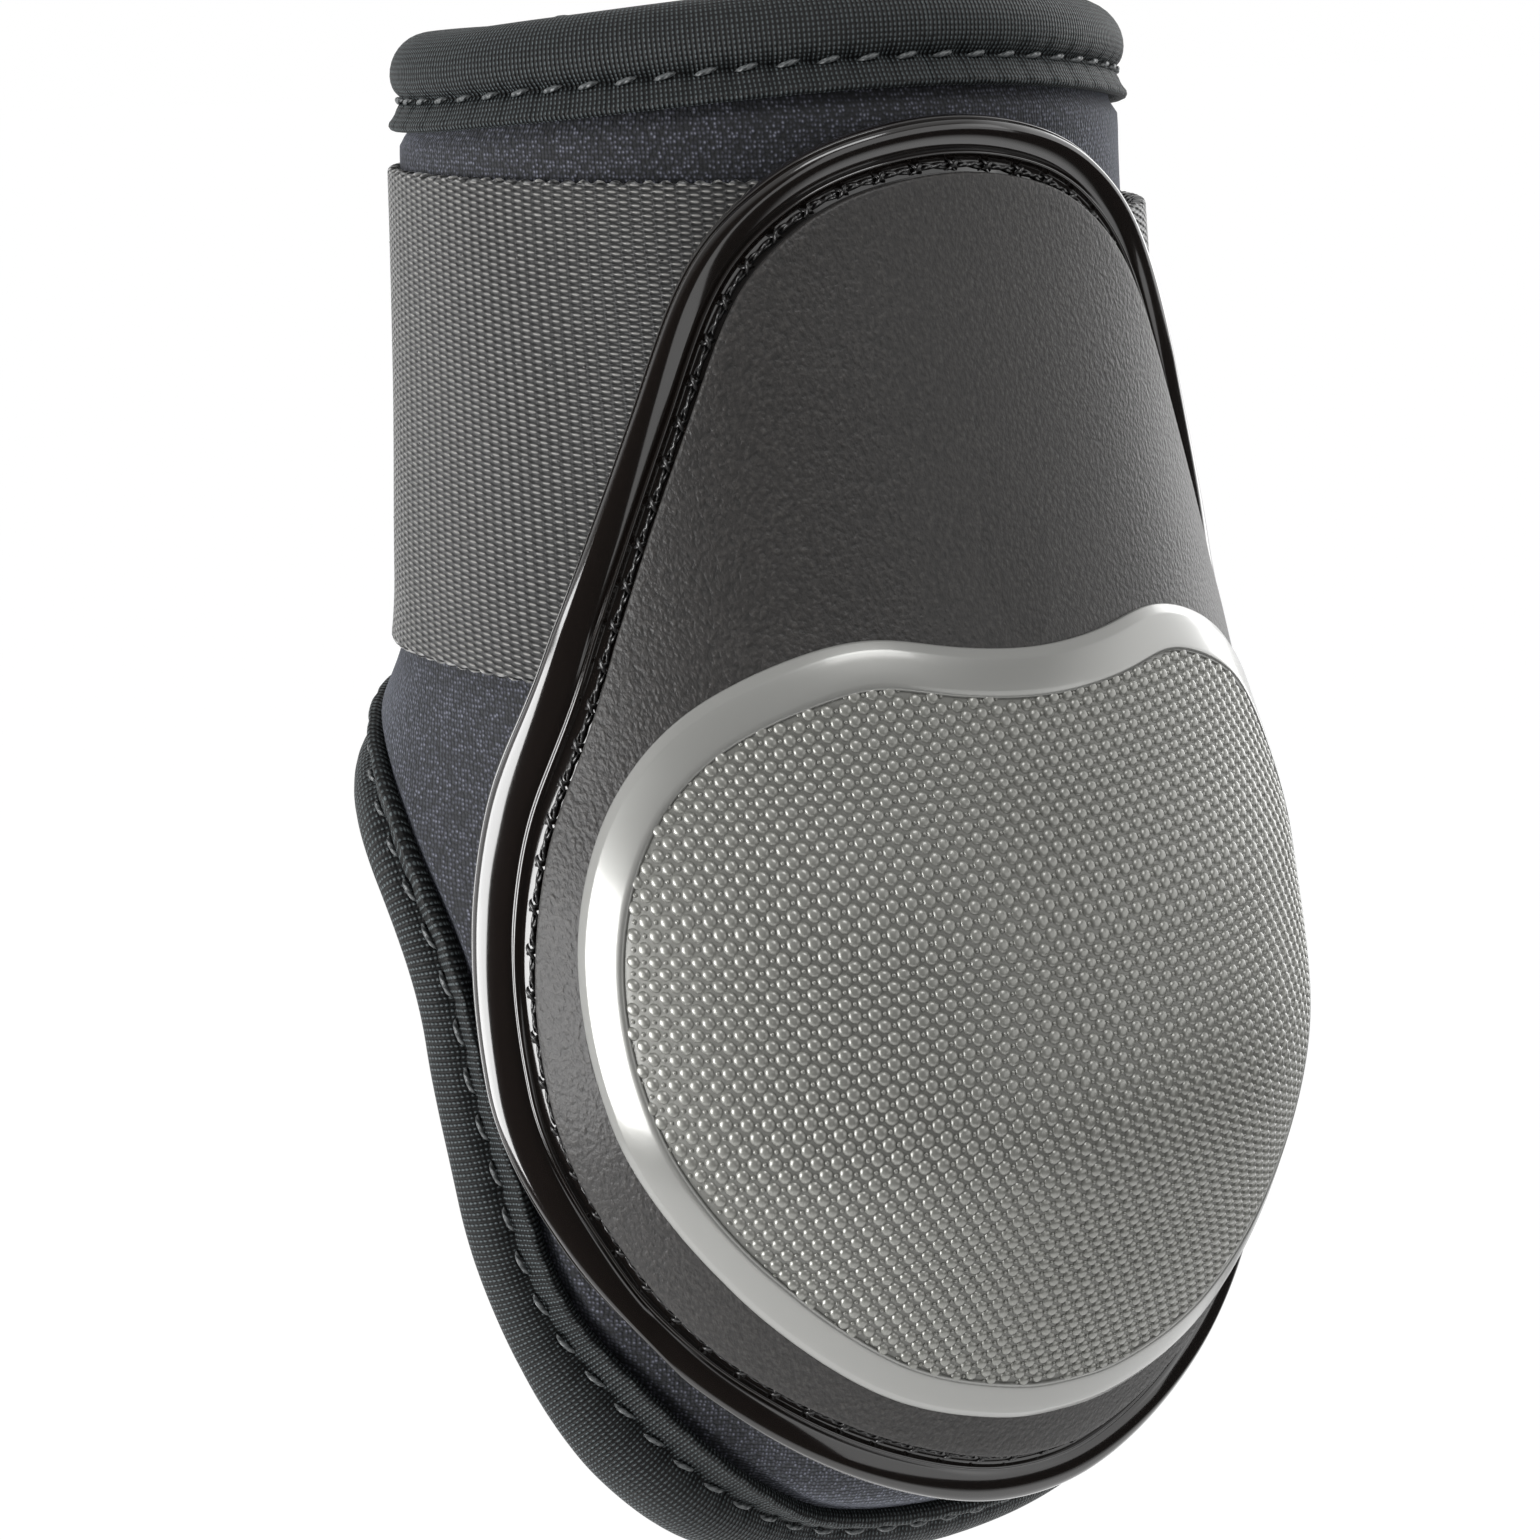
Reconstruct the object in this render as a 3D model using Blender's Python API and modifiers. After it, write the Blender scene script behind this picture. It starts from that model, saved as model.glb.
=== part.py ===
# Fetlock boot for a horse's hind leg: a moulded strike shell sewn to a bound neoprene wrap with a closing strap.
# Lengths are in metres and angles in radians. The origin is on the leg's axis, level with the middle of the
# landing band. +Z is up the leg, -Y is the rear of the leg, where the shell faces, and +X is the strap's side.

import math

import bmesh
import bpy
from mathutils import Vector

# The form that the neoprene is sewn to
side_reach = 0.0438
rear_reach = 0.0606
front_reach = 0.032
fetlock_setback = 0.016
flare_reach = 0.009
flare_front_calm = 0.6
front_pinch_share = 0.3
probe_share = 0.0001

# Sections of the form: heights as shares of its drop, then sizes as shares of the reaches above
level_shares = (0.309, 0.187, 0.023, -0.141, -0.19, -0.264, -0.386, -0.509, -0.632, -0.755, -0.853, -0.935, -1.0)
side_shares = (0.904, 0.9, 0.904, 0.934, 0.945, 0.963, 0.998, 1.0, 0.945, 0.865, 0.82, 0.79, 0.77)
rear_shares = (0.531, 0.561, 0.649, 0.752, 0.79, 0.848, 0.952, 1.0, 0.952, 0.875, 0.8, 0.66, 0.52)
setback_shares = (0, 0, 0, 0.125, 0.225, 0.375, 0.625, 0.875, 1.0, 1.0, 0.875, 0.75, 0.625)
flare_shares = (0, 0, 0, 0, 0.08, 0.5, 0.93, 0.7, 0.85, 1.0, 1.15, 1.25, 1.3)
flare_start_degrees = (70, 70, 70, 70, 70, 70, 70, 66, 60, 50, 38, 30, 28)
flare_full_degrees = (124, 124, 124, 124, 124, 124, 122, 112, 96, 86, 74, 66, 62)

# Edges of the neoprene: a crest that rises at the rear, and the lower edge with its two lobes, which runs from
# below the band to below the shell
crest_height = 0.0382
crest_rise = 0.0037
cuff_margin = 0.0145
lobe_margin = 0.0151
form_margin = 0.0017
lower_edge_shares = (
    (1.0, 0), (0.833, 0.006), (0.733, 0.013), (0.656, 0.03), (0.61, 0.055), (0.58, 0.083), (0.559, 0.116),
    (0.534, 0.2), (0.52, 0.288), (0.506, 0.378), (0.488, 0.472), (0.469, 0.572), (0.439, 0.665), (0.387, 0.756),
    (0.329, 0.838), (0.271, 0.909), (0.203, 0.97), (0.138, 0.993), (0.065, 0.999), (0, 1.0))
seam_turn = math.radians(90)
seam_edge_share = 0.656
seam_gap = 0.0014
front_gap = 0.004
front_corner = 0.013

# Layers of the wrap, from the form inwards
fit_gap = 0.0004
form_gap = 0.0007
neoprene_thickness = 0.0046
lining_thickness = 0.001
tape_thickness = 0.0008
tape_fold = 0.009
thread_radius = 0.0003
stitch_depth = 0.0068

# Moulded shell, with its outline as shares of its half turn and its height
shell_top = 0.0298
shell_height = 0.1352
shell_half_turn = math.radians(78)
rim_shares = (
    (0, 0), (0.143, 0.007), (0.285, 0.027), (0.423, 0.07), (0.503, 0.114), (0.569, 0.173), (0.662, 0.264),
    (0.738, 0.334), (0.817, 0.4), (0.921, 0.476), (0.974, 0.554), (1.0, 0.626), (0.988, 0.695),
    (0.937, 0.763), (0.828, 0.832), (0.629, 0.902), (0.401, 0.957), (0.153, 0.993), (0, 1.0))
rim_width = 0.0036
rim_swell = 0.45
rim_swell_start = 0.62
rim_swell_span = 0.36
rim_crest = 0.005
channel_width = 0.0017
channel_lift = 0.0038
shell_wall = 0.0012
pad_thickness = 0.0014
pad_bottom = 0.0003
pad_margin = 0.0037
panel_thickness = 0.001
channel_thread_radius = 0.00035

# Strike plate: a metallic ring round a soft insert
bezel_shares = (
    (0, 0.378), (0.134, 0.373), (0.268, 0.363), (0.411, 0.379), (0.55, 0.41), (0.656, 0.456), (0.731, 0.518),
    (0.767, 0.59), (0.757, 0.663), (0.689, 0.732), (0.545, 0.812), (0.33, 0.884), (0.105, 0.915), (0, 0.917))
bezel_width = 0.0046
bezel_thickness = 0.0014
insert_thickness = 0.001

# Landing band, and the closing strap that wraps the front and lands on it
band_width = 0.048
strap_width = 0.038
strap_drop = 0.0023
strap_climb_start = math.radians(135)
strap_climb_end = math.radians(160)
webbing_thickness = 0.0014
hook_thickness = 0.001
strap_end_turn = math.radians(232)
hook_length = 0.05
hook_margin = 0.002
strap_cut_gap = 0.0006
root_slope = math.radians(16)
rim_side_gap = 0.0015
tip_corner = 0.01
tip_fold = 0.008

# Hinge lines stand this far outside what turns on them
hinge_gap = 0.0007

# Counts of the mesh
loop_steps = 40
loop_rows = 5
bead_steps = 5
back_steps = 32
wrap_rows = 16
wing_steps = 10
wing_tape_steps = 26
tape_arc_steps = 4
corner_steps = 4
strap_steps = 18
band_rows = 8
rim_side_rows = 10
edge_steps = 90
fine_steps = 12

outline_middle_share = 0.6
sharp_angle = math.radians(35)
weld_distance = 0.000002

neoprene_color = (0.014, 0.015, 0.02)
lining_color = (0.05, 0.05, 0.052)
tape_color = (0.012, 0.013, 0.014)
thread_color = (0.02, 0.02, 0.021)
webbing_color = (0.2, 0.2, 0.21)
shell_color = (0.03, 0.027, 0.025)
pad_color = (0.35, 0.33, 0.3)
panel_color = (0.07, 0.066, 0.064)
bezel_color = (0.6, 0.6, 0.6)
insert_color = (0.22, 0.22, 0.21)

pattern_radius = side_reach
cuff_drop = band_width / 2 + cuff_margin
lobe_drop = shell_height - shell_top + lobe_margin
form_drop = lobe_drop + form_margin
levels = [share * form_drop for share in level_shares]
lower_edge_points = [(a * math.pi * pattern_radius, -cuff_drop - b * (lobe_drop - cuff_drop))
                     for a, b in lower_edge_shares]
seam_top = (seam_turn * pattern_radius, crest_height)
seam_foot = lower_edge_points[[a for a, _ in lower_edge_shares].index(seam_edge_share)]

neoprene_outer = -form_gap
neoprene_inner = neoprene_outer - neoprene_thickness
lining_outer = neoprene_inner - fit_gap
lining_inner = lining_outer - lining_thickness
wrap_tape_outer = tape_thickness / 2
stitch_lift = tape_thickness + fit_gap + thread_radius
wrap_tape_inner = lining_inner - form_gap - tape_thickness / 2
hook_bottom = webbing_thickness + form_gap
strap_bottom = hook_bottom + hook_thickness + fit_gap
strap_tape_outer = strap_bottom + webbing_thickness + fit_gap + tape_thickness / 2
strap_tape_inner = strap_bottom - fit_gap - tape_thickness / 2
roof_lift = pad_bottom + pad_thickness + fit_gap
seat_lift = roof_lift + shell_wall
panel_bottom = seat_lift + fit_gap
plate_bottom = panel_bottom + panel_thickness + fit_gap
panel_inset = rim_width + channel_width + fit_gap


def smoothstep(value):
    value = min(max(value, 0), 1)
    return value * value * (3 - 2 * value)


def between_levels(height, values):
    # A monotone cubic through the form's sections
    last = len(levels) - 1
    height = min(max(height, levels[last]), levels[0])
    index = 0
    while index < last - 1 and height < levels[index + 1]:
        index += 1
    slopes = [(b - a) / (d - c) for a, b, c, d in zip(values, values[1:], levels, levels[1:])]

    def tangent(i):
        if i in (0, last):
            return slopes[min(i, last - 1)]
        before, after = slopes[i - 1], slopes[i]
        return 0 if before * after <= 0 else 2 * before * after / (before + after)

    span = levels[index + 1] - levels[index]
    t = (height - levels[index]) / span
    return ((2 * t ** 3 - 3 * t ** 2 + 1) * values[index] + (t ** 3 - 2 * t ** 2 + t) * span * tangent(index)
            + (3 * t ** 2 - 2 * t ** 3) * values[index + 1] + (t ** 3 - t ** 2) * span * tangent(index + 1))


def form_point(turn, height):
    # turn runs round the leg from the rear midline, positive towards -X
    side = side_reach * between_levels(height, side_shares)
    rear = rear_reach * between_levels(height, rear_shares)
    setback = fetlock_setback * between_levels(height, setback_shares)
    facing = math.cos(turn)
    if facing > 0:
        x = -side * math.sin(turn)
        y = -setback - (rear - setback) * facing
    else:
        x = -side * math.sin(turn) * (1 - front_pinch_share * facing ** 2)
        y = -setback - (front_reach + setback) * facing
    away = abs(math.remainder(turn, 2 * math.pi))
    start = math.radians(between_levels(height, flare_start_degrees))
    full = math.radians(between_levels(height, flare_full_degrees))
    flare = flare_reach * between_levels(height, flare_shares) * smoothstep((away - start) / (full - start))
    flare *= 1 - flare_front_calm * smoothstep((away - full) / (math.pi - full))
    outward = Vector((-math.sin(turn), -math.cos(turn), 0))
    return Vector((x, y, height)) + outward * flare


def skin(turn, height, lift=0):
    # A point that stands off the form by lift, along the form's normal
    point = form_point(turn, height)
    if not lift:
        return point
    along = form_point(turn + probe_share, height) - form_point(turn - probe_share, height)
    step = form_drop * probe_share
    up = form_point(turn, height + step) - form_point(turn, height - step)
    return point + up.cross(along).normalized() * lift


def on_skin(line, lift):
    # Pattern points are pairs: a length round the leg and a height
    return [skin(s / pattern_radius, z, lift) for s, z in line]


def flipped(line, side):
    return [(s * side, z) for s, z in line]


def mix(a, b, share):
    return tuple(p + (q - p) * share for p, q in zip(a, b))


def resampled(points, steps):
    travelled = [0]
    for a, b in zip(points, points[1:]):
        travelled.append(travelled[-1] + math.dist(a, b))
    result, index = [], 0
    for i in range(steps + 1):
        target = travelled[-1] * i / steps
        while index < len(points) - 2 and travelled[index + 1] < target:
            index += 1
        run = travelled[index + 1] - travelled[index]
        result.append(mix(points[index], points[index + 1], (target - travelled[index]) / run))
    return result


def smooth_line(points, steps, closed=False):
    # A Catmull-Rom curve through pattern points, resampled at equal spacing
    count = len(points)

    def pick(i):
        return points[i % count] if closed else points[min(max(i, 0), count - 1)]

    fine = []
    for i in range(count if closed else count - 1):
        around = [pick(i + k) for k in (-1, 0, 1, 2)]
        for k in range(fine_steps):
            t = k / fine_steps
            fine.append(tuple((2 * q + (r - p) * t + (2 * p - 5 * q + 4 * r - s) * t ** 2
                               + (3 * q - p - 3 * r + s) * t ** 3) / 2 for p, q, r, s in zip(*around)))
    fine.append(points[0] if closed else points[-1])
    return resampled(fine, steps)


def inward(line, closed=False, first=None, last=None):
    # One vector a point, square to the line and to its right; the ends can lean along a seam
    count = len(line)
    vectors = []
    for i in range(count):
        if closed:
            a, b = line[(i - 1) % (count - 1)], line[(i + 1) % (count - 1)]
        else:
            a, b = line[max(i - 1, 0)], line[min(i + 1, count - 1)]
        length = math.dist(a, b)
        vectors.append(((b[1] - a[1]) / length, (a[0] - b[0]) / length))
    for i, lean in ((0, first), (count - 1, last)):
        if lean:
            square = lean[0] * vectors[i][0] + lean[1] * vectors[i][1]
            vectors[i] = (lean[0] / square, lean[1] / square)
    return vectors


def swollen(line, vectors):
    # The shell's rim is broader towards its widest places
    widest = max(s for s, _ in line)
    factors = [1 + rim_swell * smoothstep((abs(s) / widest - rim_swell_start) / rim_swell_span) for s, _ in line]
    return [(a * factor, b * factor) for (a, b), factor in zip(vectors, factors)]


def inset(line, vectors, distance):
    return [(s + a * distance, z + b * distance) for (s, z), (a, b) in zip(line, vectors)]


def towards(start, end):
    length = math.dist(start, end)
    return ((end[0] - start[0]) / length, (end[1] - start[1]) / length)


def arc(centre, radius, start, end):
    turns = [start + (end - start) * i / corner_steps for i in range(corner_steps + 1)]
    return [(centre[0] + radius * math.cos(a), centre[1] + radius * math.sin(a)) for a in turns]


def crest_at(s):
    turn = s / pattern_radius
    return crest_height + crest_rise * max(math.cos(turn), 0) ** 2


def closed_outline(shares):
    # A shell outline, clockwise from its top
    half = [(a * shell_half_turn * pattern_radius, shell_top - b * shell_height) for a, b in shares]
    mirrored = [(-s, z) for s, z in reversed(half[1:-1])]
    return smooth_line(half + mirrored, loop_steps, closed=True)


def shrunk(line, share):
    middle = (0, shell_top - shell_height * outline_middle_share)
    return [mix(middle, point, share) for point in line]


def lower_edge():
    # From the front on the left side, down round the lobe to the rear midline
    return smooth_line(lower_edge_points, edge_steps)


def wing_outline():
    # The left wing's bound edge, clockwise from the seam's top to its foot
    gap_turn = front_gap / 2 / (side_reach * (1 - front_pinch_share))
    front = (math.pi - gap_turn) * pattern_radius
    bend = front - front_corner
    foot = [point for point in lower_edge() if seam_foot[0] + seam_gap < point[0] < bend]
    low = foot[0][1]
    start = (seam_top[0] + seam_gap / 2, seam_top[1])
    end = (seam_foot[0] + seam_gap / 2, seam_foot[1])
    return ([start] + arc((bend, crest_height - front_corner), front_corner, math.pi / 2, 0)
            + arc((bend, low + front_corner), front_corner, 0, -math.pi / 2) + foot + [end])


def back_outlines():
    # The rear panel's crest from right to left, and its lower edge from left to right
    end = seam_top[0] - seam_gap / 2
    crest = [(end * (2 * i / back_steps - 1), 0) for i in range(back_steps + 1)]
    crest = [(s, crest_at(s)) for s, _ in crest]
    half = [(seam_foot[0] - seam_gap / 2, seam_foot[1])]
    half += [point for point in lower_edge() if 0 < point[0] < seam_foot[0] - seam_gap]
    lower = half + [(0, -lobe_drop)] + [(-s, z) for s, z in reversed(half)]
    return crest, resampled(lower, back_steps)


def finish(name, bm, color, roughness, metallic=0):
    mesh = bpy.data.meshes.new(name)
    bm.to_mesh(mesh)
    bm.free()
    mesh.shade_smooth()
    mesh.set_sharp_from_angle(angle=sharp_angle)
    return link(bpy.data.objects.new(name, mesh), color, roughness, metallic)


def link(piece, color, roughness, metallic=0):
    material = bpy.data.materials.new(piece.name)
    material.use_nodes = True
    shader = material.node_tree.nodes["Principled BSDF"]
    shader.inputs["Base Color"].default_value = (*color, 1)
    shader.inputs["Roughness"].default_value = roughness
    shader.inputs["Metallic"].default_value = metallic
    material.diffuse_color = (*color, 1)
    piece.data.materials.append(material)
    boot.objects.link(piece)
    return piece


def grid(columns):
    # A grid whose corners are the given columns of points, joined where they coincide
    across, along = len(columns) - 1, len(columns[0]) - 1
    bm = bmesh.new()
    bmesh.ops.create_grid(bm, x_segments=across, y_segments=along, size=1)
    for vert in bm.verts:
        i = round((vert.co.x + 1) / 2 * across)
        j = round((vert.co.y + 1) / 2 * along)
        vert.co = columns[i][j]
    bmesh.ops.remove_doubles(bm, verts=bm.verts, dist=weld_distance)
    bmesh.ops.recalc_face_normals(bm, faces=bm.faces)
    bmesh.ops.triangulate(bm, faces=bm.faces, quad_method="SHORT_EDGE")
    return bm


def sheet(name, columns, thickness, color, roughness, metallic=0):
    # A layer of even thickness, half of it on each side of the given points
    piece = finish(name, grid(columns), color, roughness, metallic)
    solid = piece.modifiers.new("thickness", "SOLIDIFY")
    solid.thickness = thickness
    solid.offset = 0
    return piece


def columns_of(rows):
    return [list(column) for column in zip(*rows)]


def ring(name, columns, color, roughness, metallic=0):
    # Rows of closed loops, whose first and last points coincide
    return finish(name, grid(columns), color, roughness, metallic)


def thread(name, points, radius, cyclic=False):
    curve = bpy.data.curves.new(name, "CURVE")
    curve.dimensions = "3D"
    curve.bevel_depth = radius
    curve.bevel_resolution = 0
    curve.use_fill_caps = True
    spline = curve.splines.new("POLY")
    spline.points.add(len(points) - 1)
    for place, point in zip(spline.points, points):
        place.co = (*point, 1)
    spline.use_cyclic_u = cyclic
    return link(bpy.data.objects.new(name, curve), thread_color, 0.45)


def panel_columns(lower, upper, rows, lift):
    return [on_skin([mix(a, b, j / rows) for j in range(rows + 1)], lift) for a, b in zip(lower, upper)]


def tape_columns(line, vectors, outer, inner, fold):
    # A tape folded over an edge: outer leg, half a turn, inner leg
    radius = (outer - inner) / 2
    middle = tape_thickness / 2 + radius
    profile = [(fold, outer)]
    for i in range(tape_arc_steps + 1):
        turn = math.pi * i / tape_arc_steps
        profile.append((middle - radius * math.sin(turn), inner + radius + radius * math.cos(turn)))
    profile.append((fold, inner))
    return [list(points) for points in zip(*(on_skin(inset(line, vectors, d), lift) for d, lift in profile))]


def tape_reach(outer, inner):
    # How far inside a tape's fold the bound layers end
    return tape_thickness / 2 + (outer - inner) / 2


def build_shell():
    rim = closed_outline(rim_shares)
    rim_in = swollen(rim, inward(rim, closed=True))
    seat = inset(rim, rim_in, rim_width + channel_width)
    panel = inset(rim, rim_in, panel_inset)
    pad = inset(rim, rim_in, panel_inset + pad_margin)
    pad_hollow = inset(rim, rim_in, panel_inset + pad_margin - fit_gap)
    shares = [i / loop_rows for i in range(loop_rows)]

    rows = [on_skin(shrunk(seat, share), seat_lift) for share in shares]
    rows += [on_skin(seat, seat_lift), on_skin(seat, channel_lift)]
    for i in range(bead_steps + 1):
        turn = math.pi * i / bead_steps
        depth = rim_width / 2 * (1 + math.cos(turn))
        lift = channel_lift + (rim_crest - channel_lift) * math.sin(turn)
        rows.append(on_skin(inset(rim, rim_in, depth), lift))
    rows += [on_skin(rim, 0), on_skin(pad_hollow, 0), on_skin(pad_hollow, roof_lift)]
    rows += [on_skin(shrunk(pad_hollow, share), roof_lift) for share in shares[::-1]]
    ring("shell_base", columns_of(rows), shell_color, 0.22)

    disc("impact_pad", pad, pad_bottom, pad_thickness, pad_color, 0.8)
    disc("shell_panel", panel, panel_bottom, panel_thickness, panel_color, 0.6)
    channel = inset(rim, rim_in, rim_width + channel_width / 2)
    points = on_skin(channel, channel_lift + fit_gap + channel_thread_radius)
    thread("shell_stitching", points[:-1], channel_thread_radius, cyclic=True)

    bezel = closed_outline(bezel_shares)
    bezel_in = inward(bezel, closed=True)
    rows = []
    for i in range(bead_steps + 1):
        turn = math.pi * i / bead_steps
        depth = bezel_width / 2 * (1 + math.cos(turn))
        lift = plate_bottom + bezel_thickness * (1 + math.sin(turn)) / 2
        rows.append(on_skin(inset(bezel, bezel_in, depth), lift))
    rows += [on_skin(bezel, plate_bottom), on_skin(inset(bezel, bezel_in, bezel_width), plate_bottom)]
    rows.append(rows[0])
    ring("strike_bezel", columns_of(rows), bezel_color, 0.25, 0.6)
    insert = inset(bezel, bezel_in, bezel_width + fit_gap)
    disc("strike_insert", insert, plate_bottom, insert_thickness, insert_color, 0.4)
    return rim


def disc(name, outline, bottom, thickness, color, roughness):
    shares = [i / loop_rows for i in range(loop_rows + 1)]
    rows = [on_skin(shrunk(outline, share), bottom + thickness) for share in shares]
    rows += [on_skin(shrunk(outline, share), bottom) for share in shares[::-1]]
    ring(name, columns_of(rows), color, roughness)


def build_wrap_layers(word, lower, upper):
    thickness = neoprene_thickness
    columns = panel_columns(lower, upper, wrap_rows, neoprene_outer - thickness / 2)
    sheet("neoprene_" + word, columns, thickness, neoprene_color, 0.9)
    columns = panel_columns(lower, upper, wrap_rows, lining_outer - lining_thickness / 2)
    sheet("lining_" + word, columns, lining_thickness, lining_color, 0.95)


def build_tape(name, thread_name, line, vectors, side=1):
    # A folded tape with its row of stitches; the line is mirrored for the right side
    mirrored = flipped(vectors, side)
    line = flipped(line, side)
    columns = tape_columns(line, mirrored, wrap_tape_outer, wrap_tape_inner, tape_fold)
    sheet(name, columns, tape_thickness, tape_color, 0.85)
    thread(thread_name, on_skin(inset(line, mirrored, stitch_depth), stitch_lift), thread_radius)


def build_back():
    crest, lower = back_outlines()
    down, out = towards(seam_top, seam_foot)[::-1]
    crest_in = inward(crest, first=(-out, down), last=(out, down))
    lower_in = inward(lower, first=(-out, -down), last=(out, -down))
    reach = tape_reach(wrap_tape_outer, wrap_tape_inner)
    build_wrap_layers("back", inset(lower, lower_in, reach), inset(crest, crest_in, reach)[::-1])
    build_tape("top_binding_back", "top_stitching_back", crest, crest_in)
    build_tape("lower_binding_back", "lower_stitching_back", lower, lower_in)


def build_wing(word, side):
    line = resampled(wing_outline(), wing_tape_steps)
    out, down = towards(seam_top, seam_foot)
    vectors = inward(line, first=(out, down), last=(-out, -down))
    inner = inset(line, vectors, tape_reach(wrap_tape_outer, wrap_tape_inner))
    middle = max(range(len(inner)), key=lambda i: (round(inner[i][0] / weld_distance), -abs(inner[i][1])))
    upper = flipped(resampled(inner[:middle + 1], wing_steps), side)
    lower = flipped(resampled(inner[:middle - 1:-1], wing_steps), side)
    build_wrap_layers(word, lower, upper)
    build_tape("edge_binding_" + word, "edge_stitching_" + word, line, vectors, side)
    return max(s for s, _ in line)


def rim_side(rim, height):
    # How far round the left side the shell's rim reaches at a height
    for a, b in zip(rim, rim[1:]):
        if b[1] <= height <= a[1]:
            return mix(a, b, (a[1] - height) / (a[1] - b[1]))[0]


def strip(start_at, end, lift_at, steps, rows, half_height, side=1):
    # Columns of a flat strip; its start and its lift can vary
    columns = []
    for i in range(steps + 1):
        column = []
        for j in range(rows + 1):
            height = half_height * (2 * j / rows - 1)
            start = start_at(height)
            s = start + (end - start) * i / steps
            column.append(skin(side * s / pattern_radius, height, lift_at(s - start)))
        columns.append(column)
    return columns


def strap_lift(s, lift):
    # The strap lies low on the right, and climbs to pass over the left wing and the landing band
    share = (abs(s) / pattern_radius - strap_climb_start) / (strap_climb_end - strap_climb_start)
    return lift - strap_drop * (1 - smoothstep(share))


def strap_columns(start, end, lift, steps, half_height):
    # Columns of a strap's layer, on the right side
    columns = []
    for i in range(steps + 1):
        s = start + (end - start) * i / steps
        heights = [half_height * (2 * j / band_rows - 1) for j in range(band_rows + 1)]
        columns.append([skin(-s / pattern_radius, height, strap_lift(s, lift)) for height in heights])
    return columns


def build_bands(rim, front):
    # The landing band runs from the shell's rim, over the left seam, to the left wing's front tape
    half = band_width / 2
    middle = webbing_thickness / 2
    cut = seam_turn * pattern_radius
    columns = strip(lambda z: rim_side(rim, z) + rim_side_gap, cut - strap_cut_gap / 2, lambda s: middle,
                    band_rows, rim_side_rows, half)
    sheet("landing_band_rear", columns, webbing_thickness, webbing_color, 0.8)
    columns = strip(lambda z: cut + strap_cut_gap / 2, front - tape_fold - fit_gap, lambda s: middle,
                    strap_steps, band_rows, half)
    sheet("landing_band_front", columns, webbing_thickness, webbing_color, 0.8)

    # The strap's root climbs from the rim on the right side to the strap's own height
    climb = root_slope * pattern_radius
    columns = strip(lambda z: rim_side(rim, z) + rim_side_gap, cut - strap_cut_gap / 2,
                    lambda s: middle + (strap_bottom - strap_drop) * smoothstep(s / climb), band_rows,
                    rim_side_rows, strap_width / 2, -1)
    sheet("strap_root", columns, webbing_thickness, webbing_color, 0.8)


def build_strap():
    start = seam_turn * pattern_radius + strap_cut_gap / 2
    tip = strap_end_turn * pattern_radius
    half = strap_width / 2
    corner = arc((tip - tip_corner, half - tip_corner), tip_corner, math.pi / 2, 0)
    straight = [(start + (tip - tip_corner - start) * i / strap_steps, half) for i in range(strap_steps)]
    middle = strap_bottom + webbing_thickness / 2
    columns = []
    for s, z in straight + corner:
        heights = [z * (2 * j / band_rows - 1) for j in range(band_rows + 1)]
        columns.append([skin(-s / pattern_radius, height, strap_lift(s, middle)) for height in heights])
    sheet("strap_webbing", columns, webbing_thickness, webbing_color, 0.8)

    end = corner + [(s, -z) for s, z in reversed(corner)]
    end_in = inward(end, first=(0, -1), last=(0, 1))
    reach = tape_reach(strap_tape_outer, strap_tape_inner)
    line = flipped(inset(end, end_in, -reach), -1)
    columns = tape_columns(line, flipped(end_in, -1), strap_tape_outer, strap_tape_inner, tip_fold)
    sheet("strap_tip_binding", columns, tape_thickness, tape_color, 0.85)

    hook_end = tip - tip_corner - fit_gap
    hook_start = hook_end - hook_length
    lift = hook_bottom + hook_thickness / 2
    columns = strap_columns(hook_start, hook_end, lift, band_rows, half - hook_margin)
    sheet("hook_patch", columns, hook_thickness, tape_color, 0.95)
    columns = strap_columns(start, hook_start - fit_gap, lift, strap_steps, half - hook_margin)
    sheet("strap_backing", columns, hook_thickness, lining_color, 0.95)


def hinge_line(turn):
    # Just outside the strap's lowest corner at a seam, where the cuff is widest
    foot = skin(turn, -band_width / 2, strap_bottom + webbing_thickness + hinge_gap)
    return Vector((foot.x, foot.y, 0))


def hinge(name, place, words, parent=None):
    # An empty on an upright hinge line, for the pieces whose names hold one of the words
    empty = bpy.data.objects.new(name, None)
    boot.objects.link(empty)
    empty.parent = parent
    empty.location = place - parent.location if parent else place
    for piece in boot.objects:
        if piece.type != "EMPTY" and any(word in piece.name for word in words):
            piece.parent = empty
            piece.location = -place
    return empty


for piece in list(bpy.data.objects):
    bpy.data.objects.remove(piece, do_unlink=True)
boot = bpy.data.collections.new("fetlock_boot")
bpy.context.scene.collection.children.link(boot)

shell_rim = build_shell()
build_back()
wing_front = build_wing("left", 1)
build_wing("right", -1)
build_bands(shell_rim, wing_front)
build_strap()

# The seams bend as hinges, and the strap turns on its root
strap_line = hinge_line(-seam_turn)
band_line = hinge_line(seam_turn)
right_hinge = hinge("right_wing_hinge", strap_line, ("_right",))
hinge("strap_hinge", strap_line, ("strap_webbing", "strap_backing", "hook_patch", "strap_tip"), right_hinge)
hinge("left_wing_hinge", band_line, ("_left", "band_front"))
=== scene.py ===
import math

import bmesh
import bpy
import numpy as np
from mathutils import Matrix, Vector


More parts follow.
